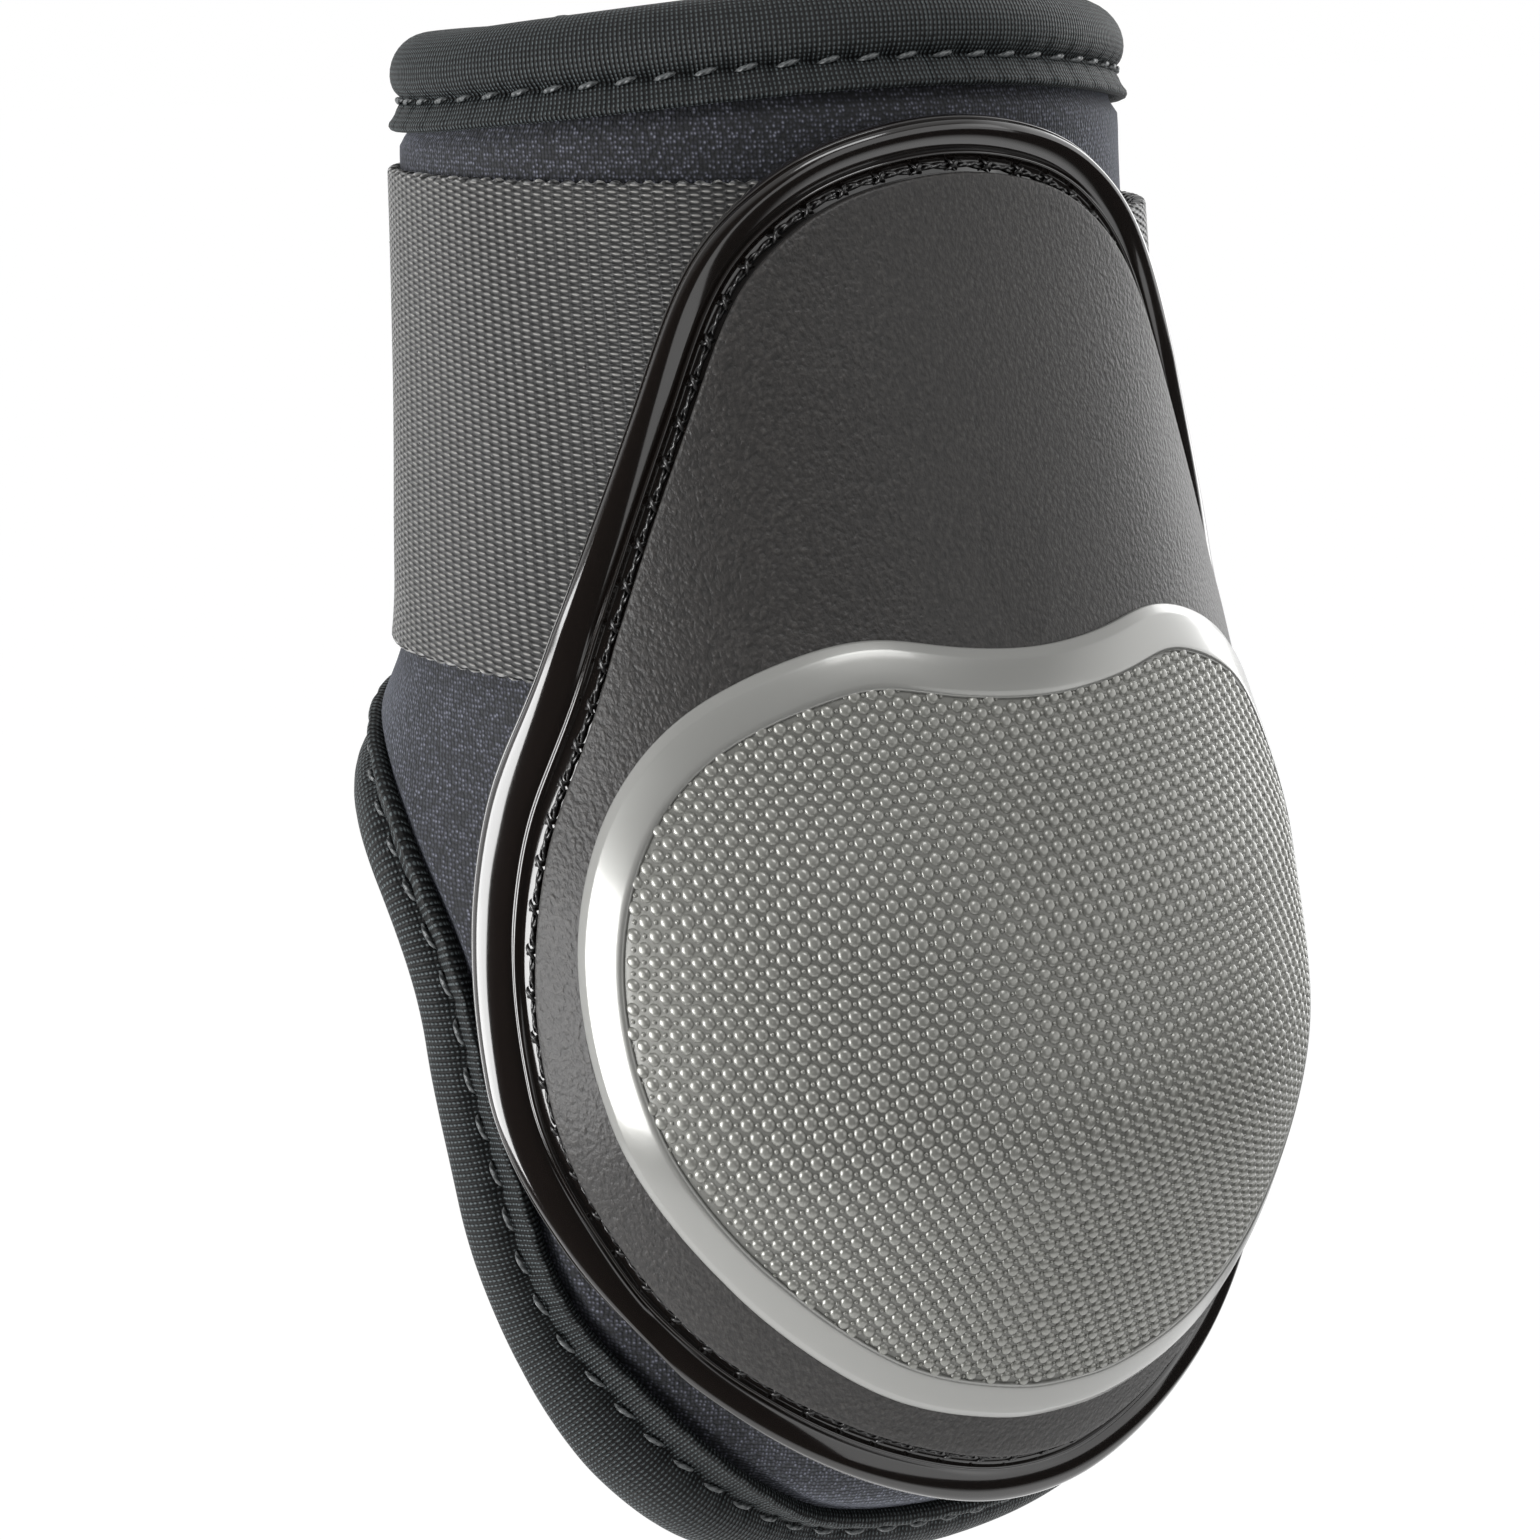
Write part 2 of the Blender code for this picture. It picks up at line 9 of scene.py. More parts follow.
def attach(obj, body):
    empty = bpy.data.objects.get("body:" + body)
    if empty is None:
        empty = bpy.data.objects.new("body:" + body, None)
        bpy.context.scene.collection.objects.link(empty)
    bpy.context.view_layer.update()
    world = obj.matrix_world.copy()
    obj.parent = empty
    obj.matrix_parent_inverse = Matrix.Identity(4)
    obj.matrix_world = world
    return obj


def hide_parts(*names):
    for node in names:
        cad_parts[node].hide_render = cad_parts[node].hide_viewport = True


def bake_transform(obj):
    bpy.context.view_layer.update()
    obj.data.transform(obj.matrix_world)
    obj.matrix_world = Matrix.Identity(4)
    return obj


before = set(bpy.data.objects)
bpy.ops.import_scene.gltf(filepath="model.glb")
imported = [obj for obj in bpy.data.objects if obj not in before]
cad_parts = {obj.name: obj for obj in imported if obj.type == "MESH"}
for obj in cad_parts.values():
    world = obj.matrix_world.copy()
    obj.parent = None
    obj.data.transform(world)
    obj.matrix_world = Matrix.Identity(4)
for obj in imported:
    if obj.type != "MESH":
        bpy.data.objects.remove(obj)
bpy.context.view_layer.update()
print("frame loaded:", len(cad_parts), "nodes")

mm = 0.001

# the leg form that everything is sewn round: reaches in metres, then shares of them in sections from the top
form = {
    "side": 0.0438, "rear": 0.0606, "front": 0.032, "setback": 0.016, "flare": 0.009, "drop": 0.1222,
    "pinch": 0.3, "frontCalm": 0.6,
    # the turn, in radians, to the points that a normal is taken from
    "probe": 0.006,
    "levels": (0.309, 0.187, 0.023, -0.141, -0.19, -0.264, -0.386, -0.509, -0.632, -0.755, -0.853, -0.935,
               -1.0),
    "sides": (0.904, 0.9, 0.904, 0.934, 0.945, 0.963, 0.998, 1.0, 0.945, 0.865, 0.82, 0.79, 0.77),
    "rears": (0.531, 0.561, 0.649, 0.752, 0.79, 0.848, 0.952, 1.0, 0.952, 0.875, 0.8, 0.66, 0.52),
    "setbacks": (0, 0, 0, 0.125, 0.225, 0.375, 0.625, 0.875, 1.0, 1.0, 0.875, 0.75, 0.625),
    "flares": (0, 0, 0, 0, 0.08, 0.5, 0.93, 0.7, 0.85, 1.0, 1.15, 1.25, 1.3),
    # where the flare starts and is full, in degrees round from the rear
    "flareStarts": (70, 70, 70, 70, 70, 70, 70, 66, 60, 50, 38, 30, 28),
    "flareFulls": (124, 124, 124, 124, 124, 124, 122, 112, 96, 86, 74, 66, 62),
    # the right lobe lies closer to the leg
    "rightCalms": (0, 0, 0, 0, 0, 0, 0, 0, 0.25, 0.5, 0.65, 0.7, 0.7),
}
patternRadius = form["side"]

# edges of the wrap, in metres
wrap = {
    "crest": 0.0382, "crestRise": 0.004, "crestFall": 0.0008, "cuffDrop": 0.0385, "lobeDrop": 0.1205,
    "frontGap": 0.004, "frontCorner": 0.013,
    # the crest's fall, in degrees round the leg: where it starts, and its span
    "fallFrom": 60, "fallSpan": 50,
    # the right lobe is tucked up by this share of its drop; the places are shares of the half turn
    "rightTuck": 0.035, "tuckSpan": 0.22, "easeFrom": 0.32, "easeSpan": 0.2,
    "crestSteps": 60, "cornerSteps": 16, "lowerSteps": 160,
    # shares of the half turn, and of the drop from the cuff's foot to the lobe's
    "lowerEdge": ((1.0, 0), (0.833, 0.006), (0.733, 0.013), (0.656, 0.03), (0.61, 0.055), (0.58, 0.083),
                  (0.559, 0.116), (0.534, 0.2), (0.52, 0.288), (0.506, 0.378), (0.488, 0.472), (0.469, 0.572),
                  (0.439, 0.665), (0.387, 0.756), (0.329, 0.838), (0.271, 0.909), (0.203, 0.97),
                  (0.138, 0.993), (0.065, 0.999), (0, 1.0)),
}
# the wings end here at the front, where the pinch leaves less of the turn
wingFront = math.pi * patternRadius - wrap["frontGap"] / 2 / (1 - form["pinch"])

# the moulded shell and its strike plate; outlines are shares of the half turn and the height, from the top
shell = {
    "top": 0.0298, "height": 0.1352, "halfTurn": 78, "steps": 480, "middle": 0.6,
    "rim": ((0, 0), (0.143, 0.007), (0.285, 0.027), (0.423, 0.07), (0.503, 0.114), (0.569, 0.173),
            (0.662, 0.264), (0.738, 0.334), (0.817, 0.4), (0.921, 0.476), (0.974, 0.554), (1.0, 0.626),
            (0.988, 0.695), (0.937, 0.763), (0.828, 0.832), (0.629, 0.902), (0.401, 0.957), (0.153, 0.993),
            (0, 1.0)),
    # the right half is drawn in towards its foot: these points take the place of the last ones
    "rightFoot": ((0.996, 0.624), (0.976, 0.69), (0.912, 0.753), (0.79, 0.82), (0.59, 0.891), (0.375, 0.95),
                  (0.15, 0.993), (0, 1.0)),
    "bezel": ((0, 0.378), (0.134, 0.373), (0.268, 0.363), (0.411, 0.379), (0.55, 0.41), (0.656, 0.456),
              (0.731, 0.518), (0.767, 0.59), (0.757, 0.663), (0.689, 0.732), (0.545, 0.812), (0.33, 0.884),
              (0.105, 0.915), (0, 0.917)),
    # the rim grows broader by this share where it is widest
    "swell": 0.45, "swellStart": 0.62, "swellSpan": 0.36,
    # depth in from the rim's edge and lift off the wrap, in mm: lip, broad face, fine ridge, channel
    "rimProfile": ((0.15, -0.5), (0, 0.3), (0, 2.4), (0.03, 3.0), (0.1, 3.5), (0.2, 3.9), (0.34, 4.2),
                   (0.42, 4.24), (0.48, 4.2), (0.55, 4.3), (0.7, 4.62), (0.9, 4.84), (1.15, 4.93), (1.5, 4.9),
                   (1.9, 4.76), (2.3, 4.55), (2.7, 4.28), (3.0, 4.05), (3.2, 3.86), (3.3, 3.7), (3.38, 3.55),
                   (3.46, 3.5), (3.54, 3.56), (3.62, 3.74), (3.74, 3.86), (3.86, 3.84), (3.95, 3.7),
                   (4.02, 3.5), (4.12, 3.32), (4.3, 3.18), (5.0, 3.12), (5.6, 3.12), (5.6, -0.2),
                   (4.6, -0.5)),
    "channel": 4.95,
    # the strike ring's outer chamfer, then its nearly flat face
    "bezelProfile": ((0, 4.3), (0, 5.0), (0.03, 5.1), (0.1, 5.18), (0.25, 5.27), (0.95, 5.6), (1.05, 5.65),
                     (1.2, 5.69), (2.0, 5.8), (3.0, 5.91), (3.9, 5.98), (4.25, 5.98), (4.45, 5.92),
                     (4.56, 5.8), (4.6, 5.6), (4.6, 4.3)),
}
outlineMiddle = shell["top"] - shell["height"] * shell["middle"]

# plates that fill an outline, in mm: depth in from it, lifts of the top and the bottom, and edge radius
plates = {
    "shell_seat": {"inset": 5.2, "top": 3.05, "bottom": 1.9, "edge": 0.3, "rows": 24},
    "impact_foam": {"inset": 9.9, "top": 1.8, "bottom": 0.2, "edge": 0.5, "rows": 24},
    "grained_panel": {"inset": 5.75, "top": 4.7, "bottom": 3.05, "edge": 0.4, "rows": 60},
    "insert_ground": {"inset": 4.45, "top": 5.58, "bottom": 4.4, "edge": 0.2, "rows": 60},
}

# the raised domes of the insert, in mm: slanting rows, a dot between neighbours, spread towards the sides
domes = {
    "along": (1.48, -0.13), "down": (0.86, -1.17), "spread": 0.07, "spreadAt": 30, "inset": 4.5, "reach": 90,
    "insert_domes": {"radii": (0.61, 0.66), "height": 0.3, "sides": 14, "rings": 5},
    "insert_dots": {"radii": (0.24, 0.26), "height": 0.17, "sides": 8, "rings": 2},
    "sunk": 0.06,
}


def linear(code):
    # sRGB hex to linear
    parts = [int(code[i:i + 2], 16) / 255 for i in (1, 3, 5)]
    return tuple(c / 12.92 if c <= 0.04045 else ((c + 0.055) / 1.055) ** 2.4 for c in parts)


def throughLevels(z, shares):
    # monotone cubic through the form's sections
    knots = -np.array(form["levels"]) * form["drop"]
    values = np.array(shares, float)
    slopes = np.diff(values) / np.diff(knots)
    product = slopes[:-1] * slopes[1:]
    total = np.where(product > 0, slopes[:-1] + slopes[1:], 1)
    tangents = np.concatenate([slopes[:1], np.where(product > 0, 2 * product / total, 0), slopes[-1:]])
    at = np.clip(-z, knots[0], knots[-1])
    i = np.clip(np.searchsorted(knots, at, side="right") - 1, 0, len(slopes) - 1)
    span = knots[i + 1] - knots[i]
    t = (at - knots[i]) / span
    return ((2 * t ** 3 - 3 * t ** 2 + 1) * values[i] + (t ** 3 - 2 * t ** 2 + t) * span * tangents[i]
            + (3 * t ** 2 - 2 * t ** 3) * values[i + 1] + (t ** 3 - t ** 2) * span * tangents[i + 1])


def smoothstep(value):
    t = np.clip(value, 0, 1)
    return t * t * (3 - 2 * t)


def formPoint(turn, z):
    side = form["side"] * throughLevels(z, form["sides"])
    rear = form["rear"] * throughLevels(z, form["rears"])
    setback = form["setback"] * throughLevels(z, form["setbacks"])
    facing = np.cos(turn)
    behind = facing > 0
    x = -side * np.sin(turn) * np.where(behind, 1, 1 - form["pinch"] * facing ** 2)
    y = -setback - np.where(behind, rear - setback, form["front"] + setback) * facing
    away = np.degrees(np.abs((turn + np.pi) % (2 * np.pi) - np.pi))
    start, full = throughLevels(z, form["flareStarts"]), throughLevels(z, form["flareFulls"])
    flare = form["flare"] * throughLevels(z, form["flares"]) * smoothstep((away - start) / (full - start))
    flare = flare * (1 - form["frontCalm"] * smoothstep((away - full) / (180 - full)))
    flare = flare * np.where(turn < 0, 1 - throughLevels(z, form["rightCalms"]), 1)
    return np.stack([x - np.sin(turn) * flare, y - np.cos(turn) * flare, z + 0 * turn], -1)


def onForm(s, z, lift=0.0):
    # points at a lift off the form, along its normal
    s, z, lift = np.broadcast_arrays(np.asarray(s, float), np.asarray(z, float), np.asarray(lift, float))
    turn = s / patternRadius
    step = form["probe"]
    along = formPoint(turn + step, z) - formPoint(turn - step, z)
    up = formPoint(turn, z + step * patternRadius) - formPoint(turn, z - step * patternRadius)
    normal = np.cross(up, along)
    normal /= np.linalg.norm(normal, axis=-1, keepdims=True)
    return formPoint(turn, z) + normal * lift[..., None]


def travelled(line):
    return np.concatenate([[0], np.cumsum(np.linalg.norm(np.diff(line, axis=0), axis=1))])


def resampled(line, steps):
    far = travelled(line)
    at = np.linspace(0, far[-1], steps + 1)
    return np.stack([np.interp(at, far, line[:, k]) for k in (0, 1)], 1)


def smoothLine(points, steps, closed=False):
    # Catmull-Rom curve, resampled at equal spacing, then eased where its pieces meet
    finer, easings = 40, steps // 16
    p = np.array(points, float)
    count = len(p)
    places = np.arange(count if closed else count - 1)
    around = [places + k for k in (-1, 0, 1, 2)]
    a, b, c, d = [p[i % count if closed else np.clip(i, 0, count - 1)][:, None] for i in around]
    t = (np.arange(finer) / finer)[None, :, None]
    fine = (2 * b + (c - a) * t + (2 * a - 5 * b + 4 * c - d) * t ** 2 + (3 * b - a - 3 * c + d) * t ** 3) / 2
    fine = np.vstack([fine.reshape(-1, 2), p[:1] if closed else p[-1:]])
    line = resampled(fine, steps)
    for _ in range(easings):
        if closed:
            loop = line[:-1]
            loop = loop / 2 + (np.roll(loop, 1, 0) + np.roll(loop, -1, 0)) / 4
            line = np.vstack([loop, loop[:1]])
        else:
            line[1:-1] = line[1:-1] / 2 + (line[:-2] + line[2:]) / 4
    return line


def inward(line, closed=False):
    # unit vectors to the right of the line's travel
    if closed:
        loop = line[:-1]
        way = np.roll(loop, -1, 0) - np.roll(loop, 1, 0)
        way = np.vstack([way, way[:1]])
    else:
        way = np.gradient(line, axis=0)
    way = way / np.linalg.norm(way, axis=1, keepdims=True)
    return np.stack([way[:, 1], -way[:, 0]], 1)


def shellOutline(leftShares, rightShares, steps):
    width = math.radians(shell["halfTurn"]) * patternRadius
    left, right = ([(a * width, shell["top"] - b * shell["height"]) for a, b in shares]
                   for shares in (leftShares, rightShares))
    return smoothLine(left + [(-s, z) for s, z in right[-2:0:-1]], steps, closed=True)


def wrapEdge(steps, tuck):
    # one side's bound edge: crest from the rear midline, front corners, lower edge back to the rear midline
    radius = wrap["frontCorner"]
    bend = wingFront - radius
    s = np.linspace(0, bend, wrap["crestSteps"])
    turn = s / patternRadius
    rise = wrap["crestRise"] * np.maximum(np.cos(turn), 0) ** 2
    fall = wrap["crestFall"] * smoothstep((np.degrees(turn) - wrap["fallFrom"]) / wrap["fallSpan"])
    crest = np.stack([s, wrap["crest"] + rise - fall], 1)
    drop = wrap["lobeDrop"] - wrap["cuffDrop"]
    lower = []
    for share, fallen in wrap["lowerEdge"]:
        tucked = tuck * smoothstep(share / wrap["tuckSpan"])
        tucked *= 1 - smoothstep((share - wrap["easeFrom"]) / wrap["easeSpan"])
        lower.append((share * math.pi * patternRadius, -wrap["cuffDrop"] - fallen * drop * (1 - tucked)))
    lower = smoothLine(lower, wrap["lowerSteps"])
    lower = lower[lower[:, 0] < bend]
    corners = []
    for height, start in ((wrap["crest"] - radius, 90), (lower[0, 1] + radius, 0)):
        turns = np.radians(np.linspace(start, start - 90, wrap["cornerSteps"]))
        corners.append(np.stack([bend + radius * np.cos(turns), height + radius * np.sin(turns)], 1))
    return resampled(np.vstack([crest[:-1], *corners, lower[1:]]), steps)


def inset(line, vectors, distance):
    return line + vectors * distance


def shrunk(line, share):
    middle = np.array([0, outlineMiddle])
    return middle + (line - middle) * share


def newObject(name, vertices, faces, uv=None, sharp=40):
    # uv holds one pair for each corner of each face
    mesh = bpy.data.meshes.new(name)
    mesh.from_pydata(np.asarray(vertices).reshape(-1, 3).tolist(), [], np.asarray(faces).tolist())
    if uv is not None:
        layer = mesh.uv_layers.new(name="pattern")
        layer.data.foreach_set("uv", np.asarray(uv, np.float32).ravel())
    mesh.validate()
    mesh.shade_smooth()
    mesh.set_sharp_from_angle(angle=math.radians(sharp))
    piece = bpy.data.objects.new(name, mesh)
    bpy.context.scene.collection.objects.link(piece)
    return piece


def gridFaces(columns, rows, wrapColumns=False, wrapRows=False):
    # quads of a grid of points, and the grid place of each corner
    i, j = np.meshgrid(np.arange(columns if wrapColumns else columns - 1),
                       np.arange(rows if wrapRows else rows - 1), indexing="ij")
    i = np.stack([i, i + 1, i + 1, i], -1).reshape(-1, 4)
    j = np.stack([j, j, j + 1, j + 1], -1).reshape(-1, 4)
    return (i % columns) * rows + j % rows, (i, j)


def closedUp(piece, distance=2e-6):
    # join points that lie closer than the distance, cap open ends and turn the faces out
    bm = bmesh.new()
    bm.from_mesh(piece.data)
    bmesh.ops.remove_doubles(bm, verts=bm.verts, dist=distance)
    edges = [edge for edge in bm.edges if edge.is_boundary]
    if edges:
        bmesh.ops.holes_fill(bm, edges=edges)
    bmesh.ops.recalc_face_normals(bm, faces=bm.faces)
    bm.to_mesh(piece.data)
    bm.free()
    return piece


def clothLayer(name, s, z, top, bottom):
    # a sheet between two lifts over a grid of pattern points
    columns, rows = s.shape
    upper, lower = onForm(s, z, top), onForm(s, z, bottom)
    faces, _ = gridFaces(columns, rows)
    count = columns * rows
    index = np.arange(count).reshape(columns, rows)
    loop = np.concatenate([index[:, 0], index[-1, 1:], index[-2::-1, -1], index[0, -2:0:-1]])
    after = np.roll(loop, -1)
    walls = np.stack([loop, loop + count, after + count, after], 1)
    faces = np.vstack([faces, faces[:, ::-1] + count, walls])
    flat = np.stack([s, z], -1).reshape(-1, 2) / mm
    uv = np.vstack([flat, flat])[faces.ravel()]
    points = np.vstack([upper.reshape(-1, 3), lower.reshape(-1, 3)])
    return closedUp(newObject(name, points, faces, uv, 50), 1e-7)


def edgeTrim(name, line, vectors, profile, closed=False, sharp=40):
    # a solid whose section, (depth, lift) in mm, follows a line; lifts can vary along it
    depth, lift = np.asarray(profile)[..., 0] * mm, np.asarray(profile)[..., 1] * mm
    if closed:
        line, vectors = line[:-1], vectors[:-1]
    depths = depth[..., None] if depth.ndim == 2 else depth[None, :, None]
    points = line[:, None] + vectors[:, None] * depths
    grid = onForm(points[..., 0], points[..., 1], lift)
    section = np.stack([depth, lift], -1)
    section = section[0] if section.ndim == 3 else section
    v = travelled(np.vstack([section, section[:1]])) / mm
    u = travelled(np.vstack([line, line[:1]]) if closed else line) / mm
    faces, (i, j) = gridFaces(grid.shape[0], grid.shape[1], closed, True)
    return closedUp(newObject(name, grid, faces, np.stack([u[i], v[j]], -1), sharp))


def outlinePlate(name, outline, outlineIn):
    # a plate on the form with a rounded edge, set in from an outline
    plate = plates[name]
    top, bottom, edge = plate["top"], plate["bottom"], plate["edge"]
    line = inset(outline, outlineIn, plate["inset"] * mm)
    vectors = inward(line, closed=True)
    face = inset(line, vectors, edge * mm)
    flat = [shrunk(face, share) for share in np.linspace(0, 1, plate["rows"] + 1)]
    rings = [onForm(*ring.T, top * mm) for ring in flat]
    for turn in np.radians(np.linspace(0, 90, 5))[1:]:
        flat.append(inset(line, vectors, edge * (1 - math.sin(turn)) * mm))
        rings.append(onForm(*flat[-1].T, (top - edge + edge * math.cos(turn)) * mm))
    for ring in (line, shrunk(line, 0)):
        flat.append(ring)
        rings.append(onForm(*ring.T, bottom * mm))
    points, flat = np.stack(rings, 1), np.stack(flat, 1) / mm
    faces, (i, j) = gridFaces(points.shape[0] - 1, points.shape[1], True, False)
    return closedUp(newObject(name, points[:-1], faces, flat[i, j]))


# how thick a stitch is from hole to hole, as shares of its radius
stitchTaper = (0.02, 0.72, 0.95, 1, 1, 1, 0.95, 0.72, 0.02)
stitchSides = 8


def stitchRow(name, line, vectors, stitch):
    # separate stitches: each one rises from its hole, lies along the line and dips into the next
    far = travelled(line)
    count = max(round(far[-1] / mm / stitch["pitch"]), 1)
    pitch = far[-1] / mm / count
    share = np.linspace(0, 1, len(stitchTaper))
    first = (pitch - stitch["length"]) / 2 + pitch * stitch.get("shift", 0)
    at = (first + np.arange(count)[:, None] * pitch + share[None] * stitch["length"]) * mm % far[-1]
    lean = (share - 0.5) * stitch["lean"] * mm
    s, z = [np.interp(at, far, line[:, k]) + lean * np.interp(at, far, vectors[:, k]) for k in (0, 1)]
    lift = (stitch["lift"] - stitch["dip"] * np.abs(2 * share - 1) ** 3) * mm
    centre = onForm(s, z, lift)
    above = onForm(s, z, lift + 0.1 * mm) - centre
    above /= np.linalg.norm(above, axis=-1, keepdims=True)
    way = np.gradient(centre, axis=1)
    way /= np.linalg.norm(way, axis=-1, keepdims=True)
    side = np.cross(way, above)
    above = np.cross(side, way)
    turns = np.linspace(0, 2 * math.pi, stitchSides, endpoint=False)
    girth = stitch["radius"] * mm * np.array(stitchTaper)
    ring = (above[:, :, None] * np.cos(turns)[:, None] + side[:, :, None] * np.sin(turns)[:, None])
    grid = centre[:, :, None] + ring * girth[None, :, None, None]
    faces, (i, j) = gridFaces(len(share), len(turns), False, True)
    faces = (faces[None] + (np.arange(count) * len(share) * len(turns))[:, None, None]).reshape(-1, 4)
    u, v = share * stitch["length"], np.linspace(0, 2 * math.pi * stitch["radius"], len(turns) + 1)
    uv = np.tile(np.stack([u[i], v[j]], -1).reshape(-1, 2), (count, 1))
    return closedUp(newObject(name, grid, faces, uv, 80), 1e-8)


def setNode(tree, node, settings):
    # a setting is a value, or the node or socket that feeds it
    for key, value in settings.items():
        source = value.outputs[0] if isinstance(value, bpy.types.Node) else value
        if isinstance(source, bpy.types.NodeSocket):
            tree.links.new(source, node.inputs[key])
        elif key == "stops":
            for k, (place, code) in enumerate(value):
                elements = node.color_ramp.elements
                element = elements[k] if k < 2 else elements.new(place)
                element.position, element.color = place, (*linear(code), 1)
        elif isinstance(key, int) or key in node.inputs:
            node.inputs[key].default_value = value
        else:
            setattr(node, key, value)
    return node


def addNode(tree, kind, settings=None):
    return setNode(tree, tree.nodes.new("ShaderNode" + kind), settings or {})


def newMaterial(name, color):
    # a material with the sheets' pattern for its weaves and grains
    material = bpy.data.materials.new(name)
    material.use_nodes = True
    shader = material.node_tree.nodes["Principled BSDF"]
    shader.inputs["Base Color"].default_value = (*linear(color), 1)
    material.diffuse_color = (*linear(color), 1)
    pattern = addNode(material.node_tree, "UVMap", {"uv_map": "pattern"})
    return material, material.node_tree, shader, pattern


# material patterns lie in the mm of the sheets, and their sizes are in mm too
# a wave texture's bands are this many units apart at scale 1
waveUnit = 2 * math.pi / 20


def makeJersey():
    # knit nylon face bonded to neoprene foam: near-black navy, painted highlight on loop heads and painted
    # shade between, a soft bloom at a slant
    # the loops are drawn a little coarser than knit ones, so that they show
    look = {"loop": 0.46, "cloud": 0.92, "depth": 0.00016}
    material, tree, shader, pattern = newMaterial("nylonJerseyOnNeoprene", "#1c1d22")
    loops = addNode(tree, "TexVoronoi", {"Scale": 1 / look["loop"], "Randomness": 0.45, "Vector": pattern})
    uneven = addNode(tree, "TexNoise", {"Scale": 1 / look["cloud"], "Detail": 3.0, "Roughness": 0.6,
                                        "Vector": pattern})
    soft = addNode(tree, "Math", {"operation": "MULTIPLY_ADD", 0: uneven, 1: 0.5, 2: 0.28})
    height = addNode(tree, "Math", {"operation": "MULTIPLY_ADD", 0: loops, 1: -0.9, 2: soft})
    bump = addNode(tree, "Bump", {"Height": height, "Distance": look["depth"]})
    # painted highlight and shade: the colour follows the loops' height, pale on the heads and near black
    # between them
    color = addNode(tree, "ValToRGB", {"Fac": height, "stops": (
        (0.0, "#08090b"), (0.14, "#17181d"), (0.3, "#35363f"), (0.48, "#666873"))})
    setNode(tree, shader, {"Base Color": color, "Normal": bump, "Roughness": 0.75, "Specular IOR Level": 0.3,
                           "Sheen Weight": 0.6, "Sheen Roughness": 0.45,
                           "Sheen Tint": (*linear("#a9aebb"), 1)})
    return material


def makeBinding():
    # ribbed stretch tape: ribs across the fold, with dots of painted highlight on their shiny loops and
    # painted shade between them
    look = {"rib": 0.55, "row": 0.52, "cloud": 0.625, "depth": 0.00022}
    material, tree, shader, pattern = newMaterial("ribbedStretchTape", "#141617")
    ribs = addNode(tree, "TexWave", {"Scale": waveUnit / look["rib"], "Distortion": 0.4, "Detail Scale": 0.3,
                                     "Vector": pattern})
    rows = addNode(tree, "TexWave", {"bands_direction": "Y", "Scale": waveUnit / look["row"],
                                     "Distortion": 1.2, "Detail Scale": 0.4, "Vector": pattern})
    uneven = addNode(tree, "TexNoise", {"Scale": 1 / look["cloud"], "Detail": 3.0, "Vector": pattern})
    loops = addNode(tree, "Math", {"operation": "MULTIPLY", 0: ribs, 1: rows})
    knit = addNode(tree, "Mix", {0: 0.45, 2: ribs, 3: loops})
    height = addNode(tree, "Math", {"operation": "MULTIPLY_ADD", 0: uneven, 1: 0.5, 2: knit})
    bump = addNode(tree, "Bump", {"Height": height, "Distance": look["depth"]})
    # painted highlight and shade: near black between the ribs, pale dots on the loop tops
    color = addNode(tree, "ValToRGB", {"Fac": height, "stops": (
        (0.3, "#020202"), (0.62, "#0a0b0c"), (0.9, "#191c1e"), (1.0, "#4e5557"))})
    setNode(tree, shader, {"Base Color": color, "Normal": bump, "Roughness": 0.6, "Specular IOR Level": 0.25,
                           "Sheen Weight": 0.1, "Sheen Roughness": 0.4,
                           "Sheen Tint": (*linear("#9aa5a7"), 1)})
    return material


def makeThread(name, color, twist, roughness):
    # plied filament thread: waxy highlights broken up by its twist
    look = {"depth": 0.00015}
    material, tree, shader, pattern = newMaterial(name, color)
    plies = addNode(tree, "TexWave", {"bands_direction": "DIAGONAL", "Scale": waveUnit / twist,
                                      "Vector": pattern})
    bump = addNode(tree, "Bump", {"Height": plies, "Distance": look["depth"]})
    setNode(tree, shader, {"Normal": bump, "Roughness": roughness, "Specular IOR Level": 0.6})
    return material


